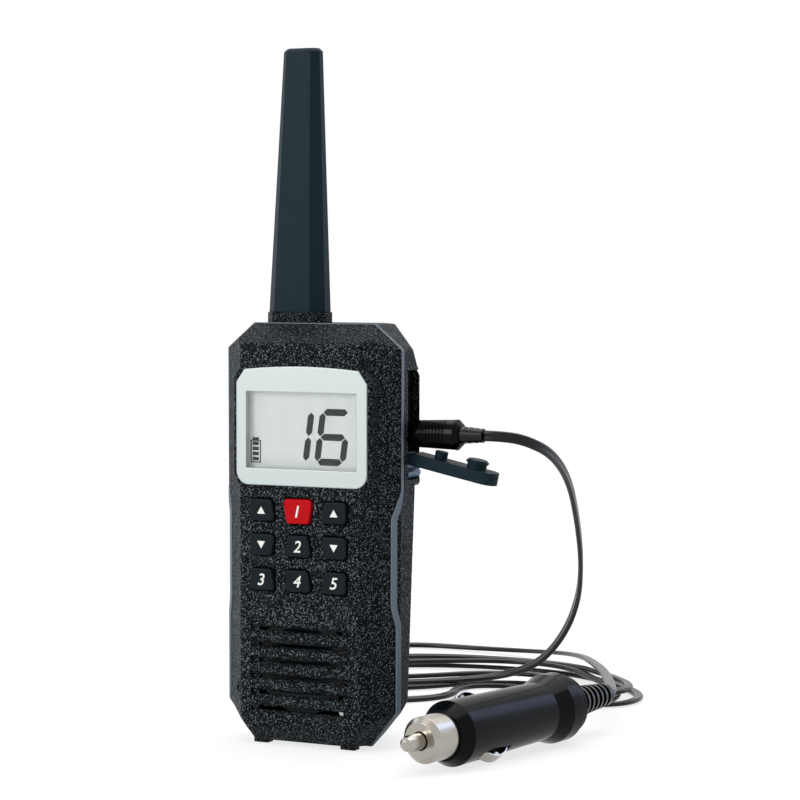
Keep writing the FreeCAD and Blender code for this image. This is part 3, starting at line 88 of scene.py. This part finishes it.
# The lead: flat two-core cord on the route of the photograph, in millimetres
lead = {
    "width": 3.4,
    "coreRadius": 0.9,
    "length": 1.663,
    "exitRun": 8.0,
    "joinRun": 18.0,
    "endRun": 4.0,
    "start": (55.25, -1.5, 99.6),
    "free": [
        (68.3, 3.4, 97.9), (71.2, 15.0, 93.6), (69.8, 32.0, 84.4), (65.6, 49.0, 70.4),
        (60.2, 66.0, 54.8), (53.0, 81.5, 39.6), (42.5, 94.0, 25.0), (29.5, 101.5, 12.8),
        (13.5, 103.5, 7.2),
    ],
    "tail": [
        (-97.0, 127.0, 1.6), (-94.5, 155.0, 1.65), (-84.0, 182.0, 1.6), (-65.0, 199.0, 1.65),
        (-40.0, 199.0, 1.8), (-18.5, 196.0, 2.6), (2.5, 184.0, 4.8), (21.5, 161.0, 7.8),
        (38.0, 134.0, 9.4), (50.2, 112.0, 10.2), (61.0, 89.0, 11.1), (70.2, 68.5, 11.9),
    ],
    "end": (73.044, 55.653, 11.743),
    "endWay": (0.19763, 0.98012, 0.01734),
    "turnFrom": 115.0,
    "turnRun": 85.0,
    "lieLower": 0.55,
    "rollSway": 0.14,
    "rollSwayRun": 43.0,
    "rollSwayStart": 0.6,
    "sectionPoints": 28,
    "coreSpread": 2.2,
    "webPinch": 0.30,
    "webWidth": 0.55,
}

# Hank of the lead: a long loop, pinched and bent at its waist, sizes at its outermost turn
hank = {
    "centre": (7.0, 154.0),
    "leftHeadingDeg": 38.0,
    "rightHeadingDeg": -50.0,
    "nearWaistHeadingDeg": 18.0,
    "firstEighth": 1,
    "lastEighth": 26,
    "firstTurnsIn": 1.2,
    "lastTurnsIn": -0.3,
    "climbEighth": 12,
    "floor": 1.56,
    "layerStep": 3.5,
    "nearWaist": (5.0, -36.0, 4.2),
    "farWaist": (0.0, 8.0, 3.8),
    "leftEnd": (-104.0, 9.0),
    "leftNear": (-62.0, -52.0),
    "leftFar": (-50.0, 44.0),
    "leftHalfStep": 13.0,
    "rightEnd": (78.0, 3.8),
    "rightNear": (60.0, -20.0),
    "rightFar": (52.0, 24.0),
    "rightHalfStep": 4.4,
}


def hankCorner(eighth):
    # reach and side of a corner in the hank, the way the cord runs there, and its heading
    first, last = hank["firstEighth"], hank["lastEighth"]
    middle = (first + last) / 2
    innermost = hank["firstTurnsIn"] + (middle - first) / 8
    turns = hank["firstTurnsIn"] + (eighth - first) / 8
    if eighth > middle:
        turns = innermost + (hank["lastTurnsIn"] - innermost) * (eighth - middle) / (last - middle)
    left, right = hank["leftHeadingDeg"], hank["rightHeadingDeg"]
    waist = (left + right) / 2
    near, far = hank["nearWaist"], hank["farWaist"]
    leftIn, rightIn = hank["leftHalfStep"] * turns, hank["rightHalfStep"] * turns
    corners = [
        (near[0], near[1] + near[2] * turns, -1, 0, waist, hank["nearWaistHeadingDeg"]),
        (hank["leftNear"][0], hank["leftNear"][1] + leftIn, -1, 0, left, left),
        (hank["leftEnd"][0] + hank["leftEnd"][1] * turns, 0, 0, 1, left, left),
        (hank["leftFar"][0], hank["leftFar"][1] - leftIn, 1, 0, left, left),
        (far[0], far[1] - far[2] * turns, 1, 0, waist, waist),
        (hank["rightFar"][0], hank["rightFar"][1] - rightIn, 1, 0, right, right),
        (hank["rightEnd"][0] - hank["rightEnd"][1] * turns, 0, 0, -1, right, right),
        (hank["rightNear"][0], hank["rightNear"][1] + rightIn, -1, 0, right, right),
    ]
    along, across, wayAlong, wayAcross, heading, wayHeading = corners[eighth % 8]
    c, s = math.cos(math.radians(heading)), math.sin(math.radians(heading))
    down = min(max(eighth - hank["climbEighth"], 0.0), 2.0) / 2.0
    level = hank["floor"] + hank["layerStep"] * (1 - down * down * (3 - 2 * down))
    x, y = hank["centre"]
    place = Vector((x + along * c - across * s, y + along * s + across * c, level))
    c, s = math.cos(math.radians(wayHeading)), math.sin(math.radians(wayHeading))
    way = Vector((wayAlong * c - wayAcross * s, wayAlong * s + wayAcross * c, 0.0))
    return place, way


def hankRoute():
    # two control points for each eighth of a turn, on the cord's way out of one corner and into the next
    points = []
    for eighth in range(hank["firstEighth"], hank["lastEighth"]):
        (p, t), (q, s) = hankCorner(eighth), hankCorner(eighth + 1)
        v = q - p
        a = 2 * (1 - t.dot(s))
        b = v.dot(t + s)
        d = v.length / 2 if a < 1e-9 else (-b + math.sqrt(b * b + a * v.dot(v))) / a
        points += [p + t * d, q - s * d]
    return points


def leadRoute():
    start = Vector(lead["start"])
    first, firstWay = hankCorner(hank["firstEighth"])
    last, lastWay = hankCorner(hank["lastEighth"])
    end, endWay = Vector(lead["end"]), Vector(lead["endWay"])
    points = [start, start + Vector((lead["exitRun"], 0, 0))]
    points += [Vector(p) for p in lead["free"]]
    points += [first - firstWay * lead["joinRun"]]
    points += hankRoute()
    points += [last + lastWay * lead["joinRun"]]
    points += [Vector(p) for p in lead["tail"]]
    points += [end + endWay * lead["endRun"], end]
    return [p * mm for p in points]


def leadLine():
    # the route's points are the control points of one smooth spline, and the tube follows that spline
    curve = bpy.data.curves.new("leadLine", "CURVE")
    curve.dimensions = "3D"
    spline = curve.splines.new("NURBS")
    points = leadRoute()
    spline.points.add(len(points) - 1)
    for point, place in zip(spline.points, points):
        point.co = (*place, 1.0)
    spline.order_u = 3
    spline.use_endpoint_u = True
    spline.resolution_u = 12
    carrier = bpy.data.objects.new("leadLine", curve)
    bpy.context.scene.collection.objects.link(carrier)
    bpy.context.view_layer.update()
    mesh = bpy.data.meshes.new_from_object(carrier)
    line = np.zeros(len(mesh.vertices) * 3)
    mesh.vertices.foreach_get("co", line)
    bpy.data.objects.remove(carrier)
    bpy.data.meshes.remove(mesh)
    return line.reshape(-1, 3)


def gridMesh(name, points, closedU=False, closedV=False):
    # a grid of points, rows by columns, joined by four-sided faces
    rows, columns = points.shape[:2]
    index = np.arange(rows * columns).reshape(rows, columns)
    nextRow = np.roll(index, -1, 0) if closedU else index[1:]
    here = index if closedU else index[:-1]
    a, b = here, nextRow
    c, d = np.roll(nextRow, -1, 1), np.roll(here, -1, 1)
    if not closedV:
        a, b, c, d = a[:, :-1], b[:, :-1], c[:, :-1], d[:, :-1]
    faces = np.stack([a, b, c, d], -1).reshape(-1, 4)
    mesh = bpy.data.meshes.new(name)
    mesh.from_pydata(points.reshape(-1, 3).tolist(), [], faces.tolist())
    mesh.update()
    mesh.polygons.foreach_set("use_smooth", np.ones(len(mesh.polygons), bool))
    piece = bpy.data.objects.new(name, mesh)
    bpy.context.scene.collection.objects.link(piece)
    return piece


def unit(v):
    return v / np.maximum(np.linalg.norm(v, axis=-1, keepdims=True), 1e-12)


def makeLead():
    line = leadLine()
    steps = np.linalg.norm(np.diff(line, axis=0), axis=1)
    along = np.concatenate([[0], np.cumsum(steps)])
    # the wide side stands upright at the plug and lies flat on the floor, easing over the last fall
    ease = np.clip((along - lead["turnFrom"] * mm) / (lead["turnRun"] * mm), 0, 1)
    ease = ease * ease * (3 - 2 * ease)
    # the route is for a round cord, so the flat one lies lower wherever it is on its side
    toEnd = np.clip((along[-1] - along) / (lead["turnRun"] * mm), 0, 1)
    line[:, 2] -= lead["lieLower"] * mm * ease * toEnd
    way = unit(np.gradient(line, axis=0))
    upright = unit(np.array([0.0, 0.0, 1.0]) - way * way[:, 2:3])
    flat = unit(np.cross(way, upright))
    sway = lead["rollSway"] * np.sin(along / (lead["rollSwayRun"] * mm) + lead["rollSwayStart"])
    turn = (np.radians(90) + sway) * ease
    wide = upright * np.cos(turn)[:, None] + flat * np.sin(turn)[:, None]
    thin = np.cross(way, wide)
    # section: two round cores side by side, one closed line round both
    r, gap = lead["coreRadius"] * mm, (lead["width"] / 2 - lead["coreRadius"]) * mm
    turns = np.linspace(0, 2 * np.pi, lead["sectionPoints"], endpoint=False)
    spread = np.minimum(1, np.abs(np.cos(turns)) * lead["coreSpread"])
    u = gap * np.sign(np.cos(turns)) * spread + r * np.cos(turns)
    waist = 1 - lead["webPinch"] * np.exp(-(u / (lead["webWidth"] * gap)) ** 2)
    v = r * np.sin(turns) * waist
    points = line[:, None] + wide[:, None] * u[None, :, None] + thin[:, None] * v[None, :, None]
    piece = gridMesh("power_lead", points, closedV=True)
    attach(piece, "lead")
    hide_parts("lead_free", "lead_hank", "lead_tail")
    print("stage: lead", round(along[-1], 4))
    return piece


leadPiece = makeLead()


# What the display shows: two slanted seven-segment digits and a battery sign, in millimetres
readout = {
    "front": -18.07,
    "back": -18.02,
    "low": 90.8,
    "height": 15.7,
    "width": 9.0,
    "halfStroke": 1.08,
    "joint": 0.22,
    "slantDeg": 7.7,
    "oneRight": 1.15,
    "sixLeft": 5.25,
    "batteryLeft": -18.74,
    "batteryLow": 89.8,
    "batterySize": (3.75, 7.3),
    "batteryLine": 0.38,
    "batteryCap": (2.3, 0.8),
    "batteryBars": 4,
    "barFrom": 0.2,
    "barShare": 0.68,
}


def barOutline(a, b, half, joint):
    # a six-sided bar between two points on one level or one upright, pointed at both ends
    (ax, az), (bx, bz) = a, b
    if az == bz:
        ax, bx = ax + joint, bx - joint
        return [(ax, az), (ax + half, az - half), (bx - half, az - half), (bx, az),
                (bx - half, az + half), (ax + half, az + half)]
    az, bz = az + joint, bz - joint
    return [(ax, az), (ax + half, az + half), (ax + half, bz - half), (ax, bz),
            (ax - half, bz - half), (ax - half, az + half)]


def boxOutline(x0, x1, z0, z1):
    return [(x0, z0), (x1, z0), (x1, z1), (x0, z1)]


def printPiece(name, outlines, front, back, body):
    # thin plates that face the front, from anticlockwise outlines in x and z
    vertices, faces = [], []
    for outline in outlines:
        count, first = len(outline), len(vertices)
        for y in (front, back):
            vertices += [(x * mm, y * mm, z * mm) for x, z in outline]
        faces.append([first + i for i in range(count)])
        faces.append([first + count + i for i in reversed(range(count))])
        for i in range(count):
            j = (i + 1) % count
            faces.append([first + i, first + count + i, first + count + j, first + j])
    mesh = bpy.data.meshes.new(name)
    mesh.from_pydata(vertices, [], faces)
    piece = bpy.data.objects.new(name, mesh)
    bpy.context.scene.collection.objects.link(piece)
    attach(piece, body)
    return piece


def slanted(outline):
    lean = math.tan(math.radians(readout["slantDeg"]))
    return [(x + (z - readout["low"]) * lean, z) for x, z in outline]


def makeReadout():
    low, high = readout["low"], readout["low"] + readout["height"]
    middle = (low + high) / 2
    half, joint = readout["halfStroke"], readout["joint"]
    one, left = readout["oneRight"], readout["sixLeft"]
    right = left + readout["width"]
    strokes = [
        ((one, low), (one, middle)), ((one, middle), (one, high)),
        ((left, low), (left, middle)), ((left, middle), (left, high)), ((right, low), (right, middle)),
        ((left, low), (right, low)), ((left, middle), (right, middle)), ((left, high), (right, high)),
    ]
    digits = [slanted(barOutline(a, b, half, joint)) for a, b in strokes]
    x0, z0 = readout["batteryLeft"], readout["batteryLow"]
    wide, tall = readout["batterySize"]
    x1, z1 = x0 + wide, z0 + tall
    line = readout["batteryLine"]
    capWide, capTall = readout["batteryCap"]
    capLeft = (x0 + x1 - capWide) / 2
    sign = [boxOutline(x0, x0 + line, z0, z1), boxOutline(x1 - line, x1, z0, z1),
            boxOutline(x0 + line, x1 - line, z0, z0 + line),
            boxOutline(x0 + line, x1 - line, z1 - line, z1),
            boxOutline(capLeft, capLeft + capWide, z1, z1 + capTall)]
    barLeft, barRight = x0 + 2 * line, x1 - 2 * line
    pitch = (tall - 2 * line) / readout["batteryBars"]
    for i in range(readout["batteryBars"]):
        low = z0 + line + (i + readout["barFrom"]) * pitch
        sign.append(boxOutline(barLeft, barRight, low, low + readout["barShare"] * pitch))
    return [printPiece("display_digits", digits, readout["front"], readout["back"], "radio"),
            printPiece("battery_sign", sign, readout["front"], readout["back"], "radio")]


# White print on the keys: arrows and plain numbers, in millimetres
keyPrint = {
    "front": -21.14,
    "back": -21.09,
    "pitch": (13.0, 11.05),
    "middle": (-0.25, 64.0),
    "arrow": (2.9, 2.4),
    "numberHeight": 3.9,
    "numberLine": 1.35,
    "numberSlant": 0.22,
    "numberBold": 0.035,
}
keyPrints = [
    ("key_up_left", "upper_left_key", -1, 1, "up"), ("key_red", "red_key", 0, 1, "1"),
    ("key_up_right", "upper_right_key", 1, 1, "up"), ("key_down_left", "down_left_key", -1, 0, "down"),
    ("key_middle", "middle_key", 0, 0, "2"), ("key_down_right", "down_right_key", 1, 0, "down"),
    ("key_lower_left", "lower_left_key", -1, -1, "3"), ("key_lower_middle", "lower_middle_key", 0, -1, "4"),
    ("key_lower_right", "lower_right_key", 1, -1, "5"),
]


def numberPiece(name, words, x, z, body):
    # a number set flat, made a mesh and stood up on the key's face
    curve = bpy.data.curves.new(name, "FONT")
    curve.body = words
    curve.align_x, curve.align_y = "CENTER", "CENTER"
    curve.size = keyPrint["numberHeight"] * keyPrint["numberLine"] * mm
    curve.shear = keyPrint["numberSlant"]
    curve.offset = keyPrint["numberBold"] * mm * 2
    curve.extrude = (keyPrint["back"] - keyPrint["front"]) / 2 * mm
    curve.resolution_u = 6
    carrier = bpy.data.objects.new(name, curve)
    bpy.context.scene.collection.objects.link(carrier)
    bpy.context.view_layer.update()
    mesh = bpy.data.meshes.new_from_object(carrier)
    bpy.data.objects.remove(carrier)
    flat = np.zeros(len(mesh.vertices) * 3)
    mesh.vertices.foreach_get("co", flat)
    flat = flat.reshape(-1, 3)
    centre = (flat[:, :2].max(0) + flat[:, :2].min(0)) / 2
    depth = (keyPrint["front"] + keyPrint["back"]) / 2 * mm
    stood = np.stack([flat[:, 0] - centre[0] + x * mm, depth - flat[:, 2],
                      flat[:, 1] - centre[1] + z * mm], -1)
    mesh.vertices.foreach_set("co", stood.ravel())
    mesh.update()
    piece = bpy.data.objects.new(name, mesh)
    bpy.context.scene.collection.objects.link(piece)
    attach(piece, body)
    return piece


def makeKeyPrints():
    pieces = []
    for key, body, column, row, words in keyPrints:
        x = keyPrint["middle"][0] + column * keyPrint["pitch"][0]
        z = keyPrint["middle"][1] + row * keyPrint["pitch"][1]
        name = key + "_print"
        if words in ("up", "down"):
            wide, tall = keyPrint["arrow"]
            flip = 1 if words == "up" else -1
            outline = [(x - flip * wide / 2, z - flip * tall / 2), (x + flip * wide / 2, z - flip * tall / 2),
                       (x, z + flip * tall / 2)]
            pieces.append(printPiece(name, [outline], keyPrint["front"], keyPrint["back"], body))
        else:
            pieces.append(numberPiece(name, words, x, z, body))
    return pieces


readoutPieces = makeReadout()
keyPrintPieces = makeKeyPrints()
print("stage: print")


def addNode(tree, kind, settings=None, inputs=None):
    # one shader node: its settings by name, then values or links for its sockets
    node = tree.nodes.new(kind)
    for name, value in (settings or {}).items():
        setattr(node, name, value)
    for name, value in (inputs or {}).items():
        socket = node.inputs[name]
        if isinstance(value, bpy.types.NodeSocket):
            tree.links.new(value, socket)
        else:
            socket.default_value = value
    return node


def newMaterial(name, colour, roughness, metallic=0.0, **extra):
    material = bpy.data.materials.new(name)
    material.use_nodes = True
    tree = material.node_tree
    surface = tree.nodes["Principled BSDF"]
    surface.inputs["Base Color"].default_value = hexLinear(colour)
    surface.inputs["Roughness"].default_value = roughness
    surface.inputs["Metallic"].default_value = metallic
    for socket, value in extra.items():
        surface.inputs[socket.replace("_", " ")].default_value = value
    where = addNode(tree, "ShaderNodeTexCoord")
    return material, tree, surface, where.outputs["Object"]


def roundedNormal(tree, radius):
    # soft moulded edges: the normal is averaged over this radius
    return addNode(tree, "ShaderNodeBevel", {"samples": 6}, {"Radius": radius * mm}).outputs["Normal"]


def fineRoughness(tree, surface, where, grainMm, low, high):
    # handling marks: roughness wanders between two values over patches of the given size
    noise = addNode(tree, "ShaderNodeTexNoise",
                    inputs={"Vector": where, "Scale": 1000 / grainMm, "Detail": 3.0})
    spread = addNode(tree, "ShaderNodeMapRange",
                     inputs={"Value": noise.outputs["Fac"], "To Min": low, "To Max": high})
    tree.links.new(spread.outputs["Result"], surface.inputs["Roughness"])
    return noise.outputs["Fac"]


# Grain of the housing: pebbles, the fine skin on them, and pale flecks that are painted highlights, glints of light
# on the grain
grain = {
    "colour": "#020304",
    # the paler colour is a painted highlight: flecks of it stand in for glints of light on the grain
    "paintedGlintColour": "#75838a",
    "pebbleMm": 0.6,
    "fineMm": 0.35,
    "glintMm": 0.42,
    "depthMm": 0.4,
    "edgeMm": 0.7,
    "paintedGlintFrom": 0.55,
    "paintedGlintTo": 0.70,
    "paintedGlintMost": 0.85,
}


def grainedAbs():
    # black ABS moulded against a coarse eroded tool: a near-black skin whose pebbles, half a millimetre wide,
    # catch the light one by one
    material, tree, surface, where = newMaterial("black grained ABS", grain["colour"], 0.36, IOR=1.5,
                                                 Specular_IOR_Level=0.06)
    pebble = addNode(tree, "ShaderNodeTexVoronoi", {"feature": "SMOOTH_F1"},
                     {"Vector": where, "Scale": 1000 / grain["pebbleMm"], "Smoothness": 0.5, "Randomness": 1.0})
    fine = addNode(tree, "ShaderNodeTexNoise",
                   inputs={"Vector": where, "Scale": 1000 / grain["fineMm"], "Detail": 2.0})
    height = addNode(tree, "ShaderNodeMath", {"operation": "MULTIPLY_ADD"},
                     {0: fine.outputs["Fac"], 1: 0.6, 2: pebble.outputs["Distance"]})
    edge = roundedNormal(tree, grain["edgeMm"])
    bump = addNode(tree, "ShaderNodeBump", inputs={"Height": height.outputs[0], "Strength": 1.0,
                                                   "Distance": grain["depthMm"] * mm, "Normal": edge})
    tree.links.new(bump.outputs["Normal"], surface.inputs["Normal"])
    spread = addNode(tree, "ShaderNodeMapRange",
                     inputs={"Value": pebble.outputs["Distance"], "From Max": 0.7, "To Min": 0.22, "To Max": 0.5})
    tree.links.new(spread.outputs["Result"], surface.inputs["Roughness"])
    # painted highlights: pale flecks mixed into the base colour at random stand in for glints of light on the grain
    glintNoise = addNode(tree, "ShaderNodeTexNoise",
                    inputs={"Vector": where, "Scale": 1000 / grain["glintMm"], "Detail": 1.5})
    paintedGlint = addNode(tree, "ShaderNodeMapRange",
                   inputs={"Value": glintNoise.outputs["Fac"], "From Min": grain["paintedGlintFrom"],
                           "From Max": grain["paintedGlintTo"], "To Max": grain["paintedGlintMost"]})
    mixed = addNode(tree, "ShaderNodeMix", {"data_type": "RGBA"},
                    {"Factor": paintedGlint.outputs["Result"], 6: hexLinear(grain["colour"]),
                     7: hexLinear(grain["paintedGlintColour"])})
    tree.links.new(mixed.outputs[2], surface.inputs["Base Color"])
    return material


def plainMoulded(name, colour, low, high, radius=0.2, grainMm=3.0, bumpMm=0.0, **extra):
    # moulded plastic or rubber: even colour, wandering gloss, softened edges and a faint skin
    material, tree, surface, where = newMaterial(name, colour, (low + high) / 2, **extra)
    fineRoughness(tree, surface, where, grainMm, low, high)
    normal = roundedNormal(tree, radius)
    if bumpMm:
        skin = addNode(tree, "ShaderNodeTexNoise",
                       inputs={"Vector": where, "Scale": 1000 / 0.25, "Detail": 2.0})
        bump = addNode(tree, "ShaderNodeBump", inputs={"Height": skin.outputs["Fac"], "Strength": 0.5,
                                                       "Distance": bumpMm * mm, "Normal": normal})
        normal = bump.outputs["Normal"]
    tree.links.new(normal, surface.inputs["Normal"])
    return material


def silverPaint():
    # satin silver lacquer: fine flakes under a clear coat
    material, tree, surface, where = newMaterial("silver lacquer", "#b7c1bf", 0.42, 0.35, IOR=1.5)
    flake = addNode(tree, "ShaderNodeTexVoronoi", inputs={"Vector": where, "Scale": 1000 / 0.3})
    spread = addNode(tree, "ShaderNodeMapRange",
                     inputs={"Value": flake.outputs["Distance"], "To Min": 0.30, "To Max": 0.46})
    tree.links.new(spread.outputs["Result"], surface.inputs["Roughness"])
    tree.links.new(roundedNormal(tree, 0.35), surface.inputs["Normal"])
    return material


def clearWindow():
    # clear polycarbonate, thin: mostly passes light, with a faint gloss
    material, tree, surface, where = newMaterial("clear polycarbonate", "#f4f8f6", 0.04, IOR=1.45,
                                                 Specular_IOR_Level=0.25)
    surface.inputs["Alpha"].default_value = 0.05
    noise = addNode(tree, "ShaderNodeTexNoise", inputs={"Vector": where, "Scale": 1000 / 6.0})
    spread = addNode(tree, "ShaderNodeMapRange",
                     inputs={"Value": noise.outputs["Fac"], "To Min": 0.03, "To Max": 0.06})
    tree.links.new(spread.outputs["Result"], surface.inputs["Roughness"])
    return material


def nickelPlate():
    # nickel-plated brass, turned then plated: bright, with gloss that wanders faintly over patches
    material, tree, surface, where = newMaterial("nickel plate", "#a8a39a", 0.20, 1.0)
    fineRoughness(tree, surface, where, 1.5, 0.16, 0.30)
    tree.links.new(roundedNormal(tree, 0.15), surface.inputs["Normal"])
    return material


def circuitBoard():
    # glass-epoxy board with green solder mask over copper tracks
    material, tree, surface, where = newMaterial("green solder mask", "#1d5a33", 0.35)
    tracks = addNode(tree, "ShaderNodeTexBrick",
                     inputs={"Vector": where, "Scale": 1000 / 3.0, "Color1": hexLinear("#1d5a33"),
                             "Color2": hexLinear("#194d2c"), "Mortar": hexLinear("#2f7a48"), "Mortar Size": 0.04})
    tree.links.new(tracks.outputs["Color"], surface.inputs["Base Color"])
    return material


def turnedMetal(name, colour, low, high):
    # plain metal part: colour of the metal, gloss wandering over a few tenths of a millimetre
    material, tree, surface, where = newMaterial(name, colour, (low + high) / 2, 1.0)
    fineRoughness(tree, surface, where, 0.8, low, high)
    tree.links.new(roundedNormal(tree, 0.1), surface.inputs["Normal"])
    return material


materials = {
    "housing": grainedAbs(),
    "gasket": plainMoulded("grey thermoplastic rubber", "#5d6973", 0.4, 0.55, Specular_IOR_Level=0.3),
    "bezel": silverPaint(),
    "window": clearWindow(),
    # the faint white glow of the display film is painted light: it brightens the film and is no lamp
    "lcd": plainMoulded("display film", "#e6ecec", 0.35, 0.45, Emission_Color=hexLinear("#f2f6f6"),
                        Emission_Strength=0.10),
    "white_plastic": plainMoulded("white polycarbonate", "#e4e4de", 0.4, 0.5),
    "key_rubber": plainMoulded("silicone rubber", "#10191d", 0.36, 0.5, 0.35, bumpMm=0.02,
                               Specular_IOR_Level=0.08),
    "red_key": plainMoulded("red silicone rubber", "#b0020c", 0.38, 0.5, 0.35, bumpMm=0.02,
                            Specular_IOR_Level=0.08),
    "steel": turnedMetal("zinc-plated steel", "#b9bbbb", 0.25, 0.42),
    "black_steel": plainMoulded("black painted steel", "#060607", 0.45, 0.6, Specular_IOR_Level=0.15),
    "board": circuitBoard(),
    "speaker_cone": plainMoulded("polyester film", "#0a0b0c", 0.4, 0.55, Specular_IOR_Level=0.15),
    "inner_plastic": plainMoulded("black nylon", "#070808", 0.4, 0.6, Specular_IOR_Level=0.1),
    "rubber": plainMoulded("matt black elastomer", "#12232a", 0.42, 0.56, 0.6, bumpMm=0.03,
                           Specular_IOR_Level=0.08),
    "anchor_rubber": plainMoulded("blue-grey elastomer", "#3f5a70", 0.35, 0.5),
    "brass": turnedMetal("brass", "#c9a45a", 0.25, 0.4),
    "clip_plastic": plainMoulded("black nylon, fine grain", "#0d0f10", 0.4, 0.55, 0.5, bumpMm=0.04,
                                 Specular_IOR_Level=0.25),
    "plug_plastic": plainMoulded("glossy black PVC", "#020406", 0.12, 0.22, 0.3, Specular_IOR_Level=0.08),
    "cord": plainMoulded("black cord PVC", "#040609", 0.20, 0.32, 0.2, Specular_IOR_Level=0.25),
    "nickel": nickelPlate(),
    "fuse_glass": plainMoulded("fuse glass", "#cfd8d6", 0.05, 0.1),
}
for entry in frame["record"]["subparts"]:
    piece = nodes[entry["node"]]
    piece.data.materials.clear()
    piece.data.materials.append(materials[entry["material_slot"]])
leadPiece.data.materials.append(materials["cord"])
for piece in readoutPieces:
    piece.data.materials.append(materials["inner_plastic"])
for piece in keyPrintPieces:
    piece.data.materials.append(materials["white_plastic"])
print("stage: materials")


# Studio: a pale floor, one broad light from above and three soft lamps
studio = {
    "floorSize": 6.0,
    "floorDrop": 0.0002,
    "floorColour": "#f2f2f2",
    "floorGlow": 1.05,
    "floorGlowShare": 0.72,
    "worldLight": 0.25,
    "aim": (0.0, 0.0, 0.09),
    "skyStrength": 2.6,
    "skyAngleDeg": 70,
    "skyTiltDeg": -14,
}
lamps = [
    ("front left", (-0.55, -0.95, 0.55), (0.45, 0.6), 7.5, "#ffffff"),
    ("back right", (0.65, 0.95, 0.50), (0.35, 0.9), 2.5, "#b5cbff"),
    ("left", (-1.0, 0.1, 0.4), (0.3, 0.8), 1.0, "#cfdcff"),
]


def makeStage():
    bpy.ops.mesh.primitive_plane_add(size=studio["floorSize"], location=(0, 0, -studio["floorDrop"]))
    floor = bpy.context.object
    floor.name = "floor"
    # the camera and mirrors see the floor and the sky as white paper, and other rays get the plain light
    material, tree, surface, where = newMaterial("pale paper floor", studio["floorColour"], 0.9)
    rays = addNode(tree, "ShaderNodeLightPath")
    seen = addNode(tree, "ShaderNodeMath", {"operation": "MAXIMUM"},
                   {0: rays.outputs["Is Camera Ray"], 1: rays.outputs["Is Glossy Ray"]})
    share = addNode(tree, "ShaderNodeMath", {"operation": "MULTIPLY"},
                    {0: seen.outputs[0], 1: studio["floorGlowShare"]})
    glow = addNode(tree, "ShaderNodeEmission", inputs={"Color": (1, 1, 1, 1), "Strength": studio["floorGlow"]})
    both = addNode(tree, "ShaderNodeMixShader", inputs={"Fac": share.outputs[0]})
    tree.links.new(surface.outputs[0], both.inputs[1])
    tree.links.new(glow.outputs[0], both.inputs[2])
    tree.links.new(both.outputs[0], tree.nodes["Material Output"].inputs["Surface"])
    floor.data.materials.append(material)
    world = bpy.data.worlds.new("studio")
    world.use_nodes = True
    bpy.context.scene.world = world
    tree = world.node_tree
    rays = addNode(tree, "ShaderNodeLightPath")
    seen = addNode(tree, "ShaderNodeMath", {"operation": "MAXIMUM"},
                   {0: rays.outputs["Is Camera Ray"], 1: rays.outputs["Is Transmission Ray"]})
    seen = addNode(tree, "ShaderNodeMath", {"operation": "MAXIMUM"},
                   {0: rays.outputs["Is Glossy Ray"], 1: seen.outputs[0]})
    strength = addNode(tree, "ShaderNodeMapRange", inputs={"Value": seen.outputs[0], "To Min": studio["worldLight"],
                                                            "To Max": 1.0})
    background = tree.nodes["Background"]
    background.inputs["Color"].default_value = (1, 1, 1, 1)
    tree.links.new(strength.outputs["Result"], background.inputs["Strength"])


def addLamp(name, place, size, power, colour):
    data = bpy.data.lights.new(name, "AREA")
    data.shape = "RECTANGLE"
    data.size, data.size_y = size
    data.energy = power
    data.color = hexLinear(colour)[:3]
    lamp = bpy.data.objects.new(name, data)
    bpy.context.scene.collection.objects.link(lamp)
    lamp.location = place
    lamp.rotation_mode = "QUATERNION"
    lamp.rotation_quaternion = (Vector(place) - Vector(studio["aim"])).to_track_quat("Z", "Y")


def addSky():
    # one broad even light from above, so that the floor is lit alike near and far
    data = bpy.data.lights.new("overhead", "SUN")
    data.energy = studio["skyStrength"]
    data.angle = math.radians(studio["skyAngleDeg"])
    lamp = bpy.data.objects.new("overhead", data)
    bpy.context.scene.collection.objects.link(lamp)
    lamp.rotation_euler = (math.radians(studio["skyTiltDeg"]), 0, 0)


makeStage()
addSky()
for lampSettings in lamps:
    addLamp(*lampSettings)
bpy.context.scene.view_settings.view_transform = "Standard"
print("stage: studio")

bpy.context.view_layer.update()
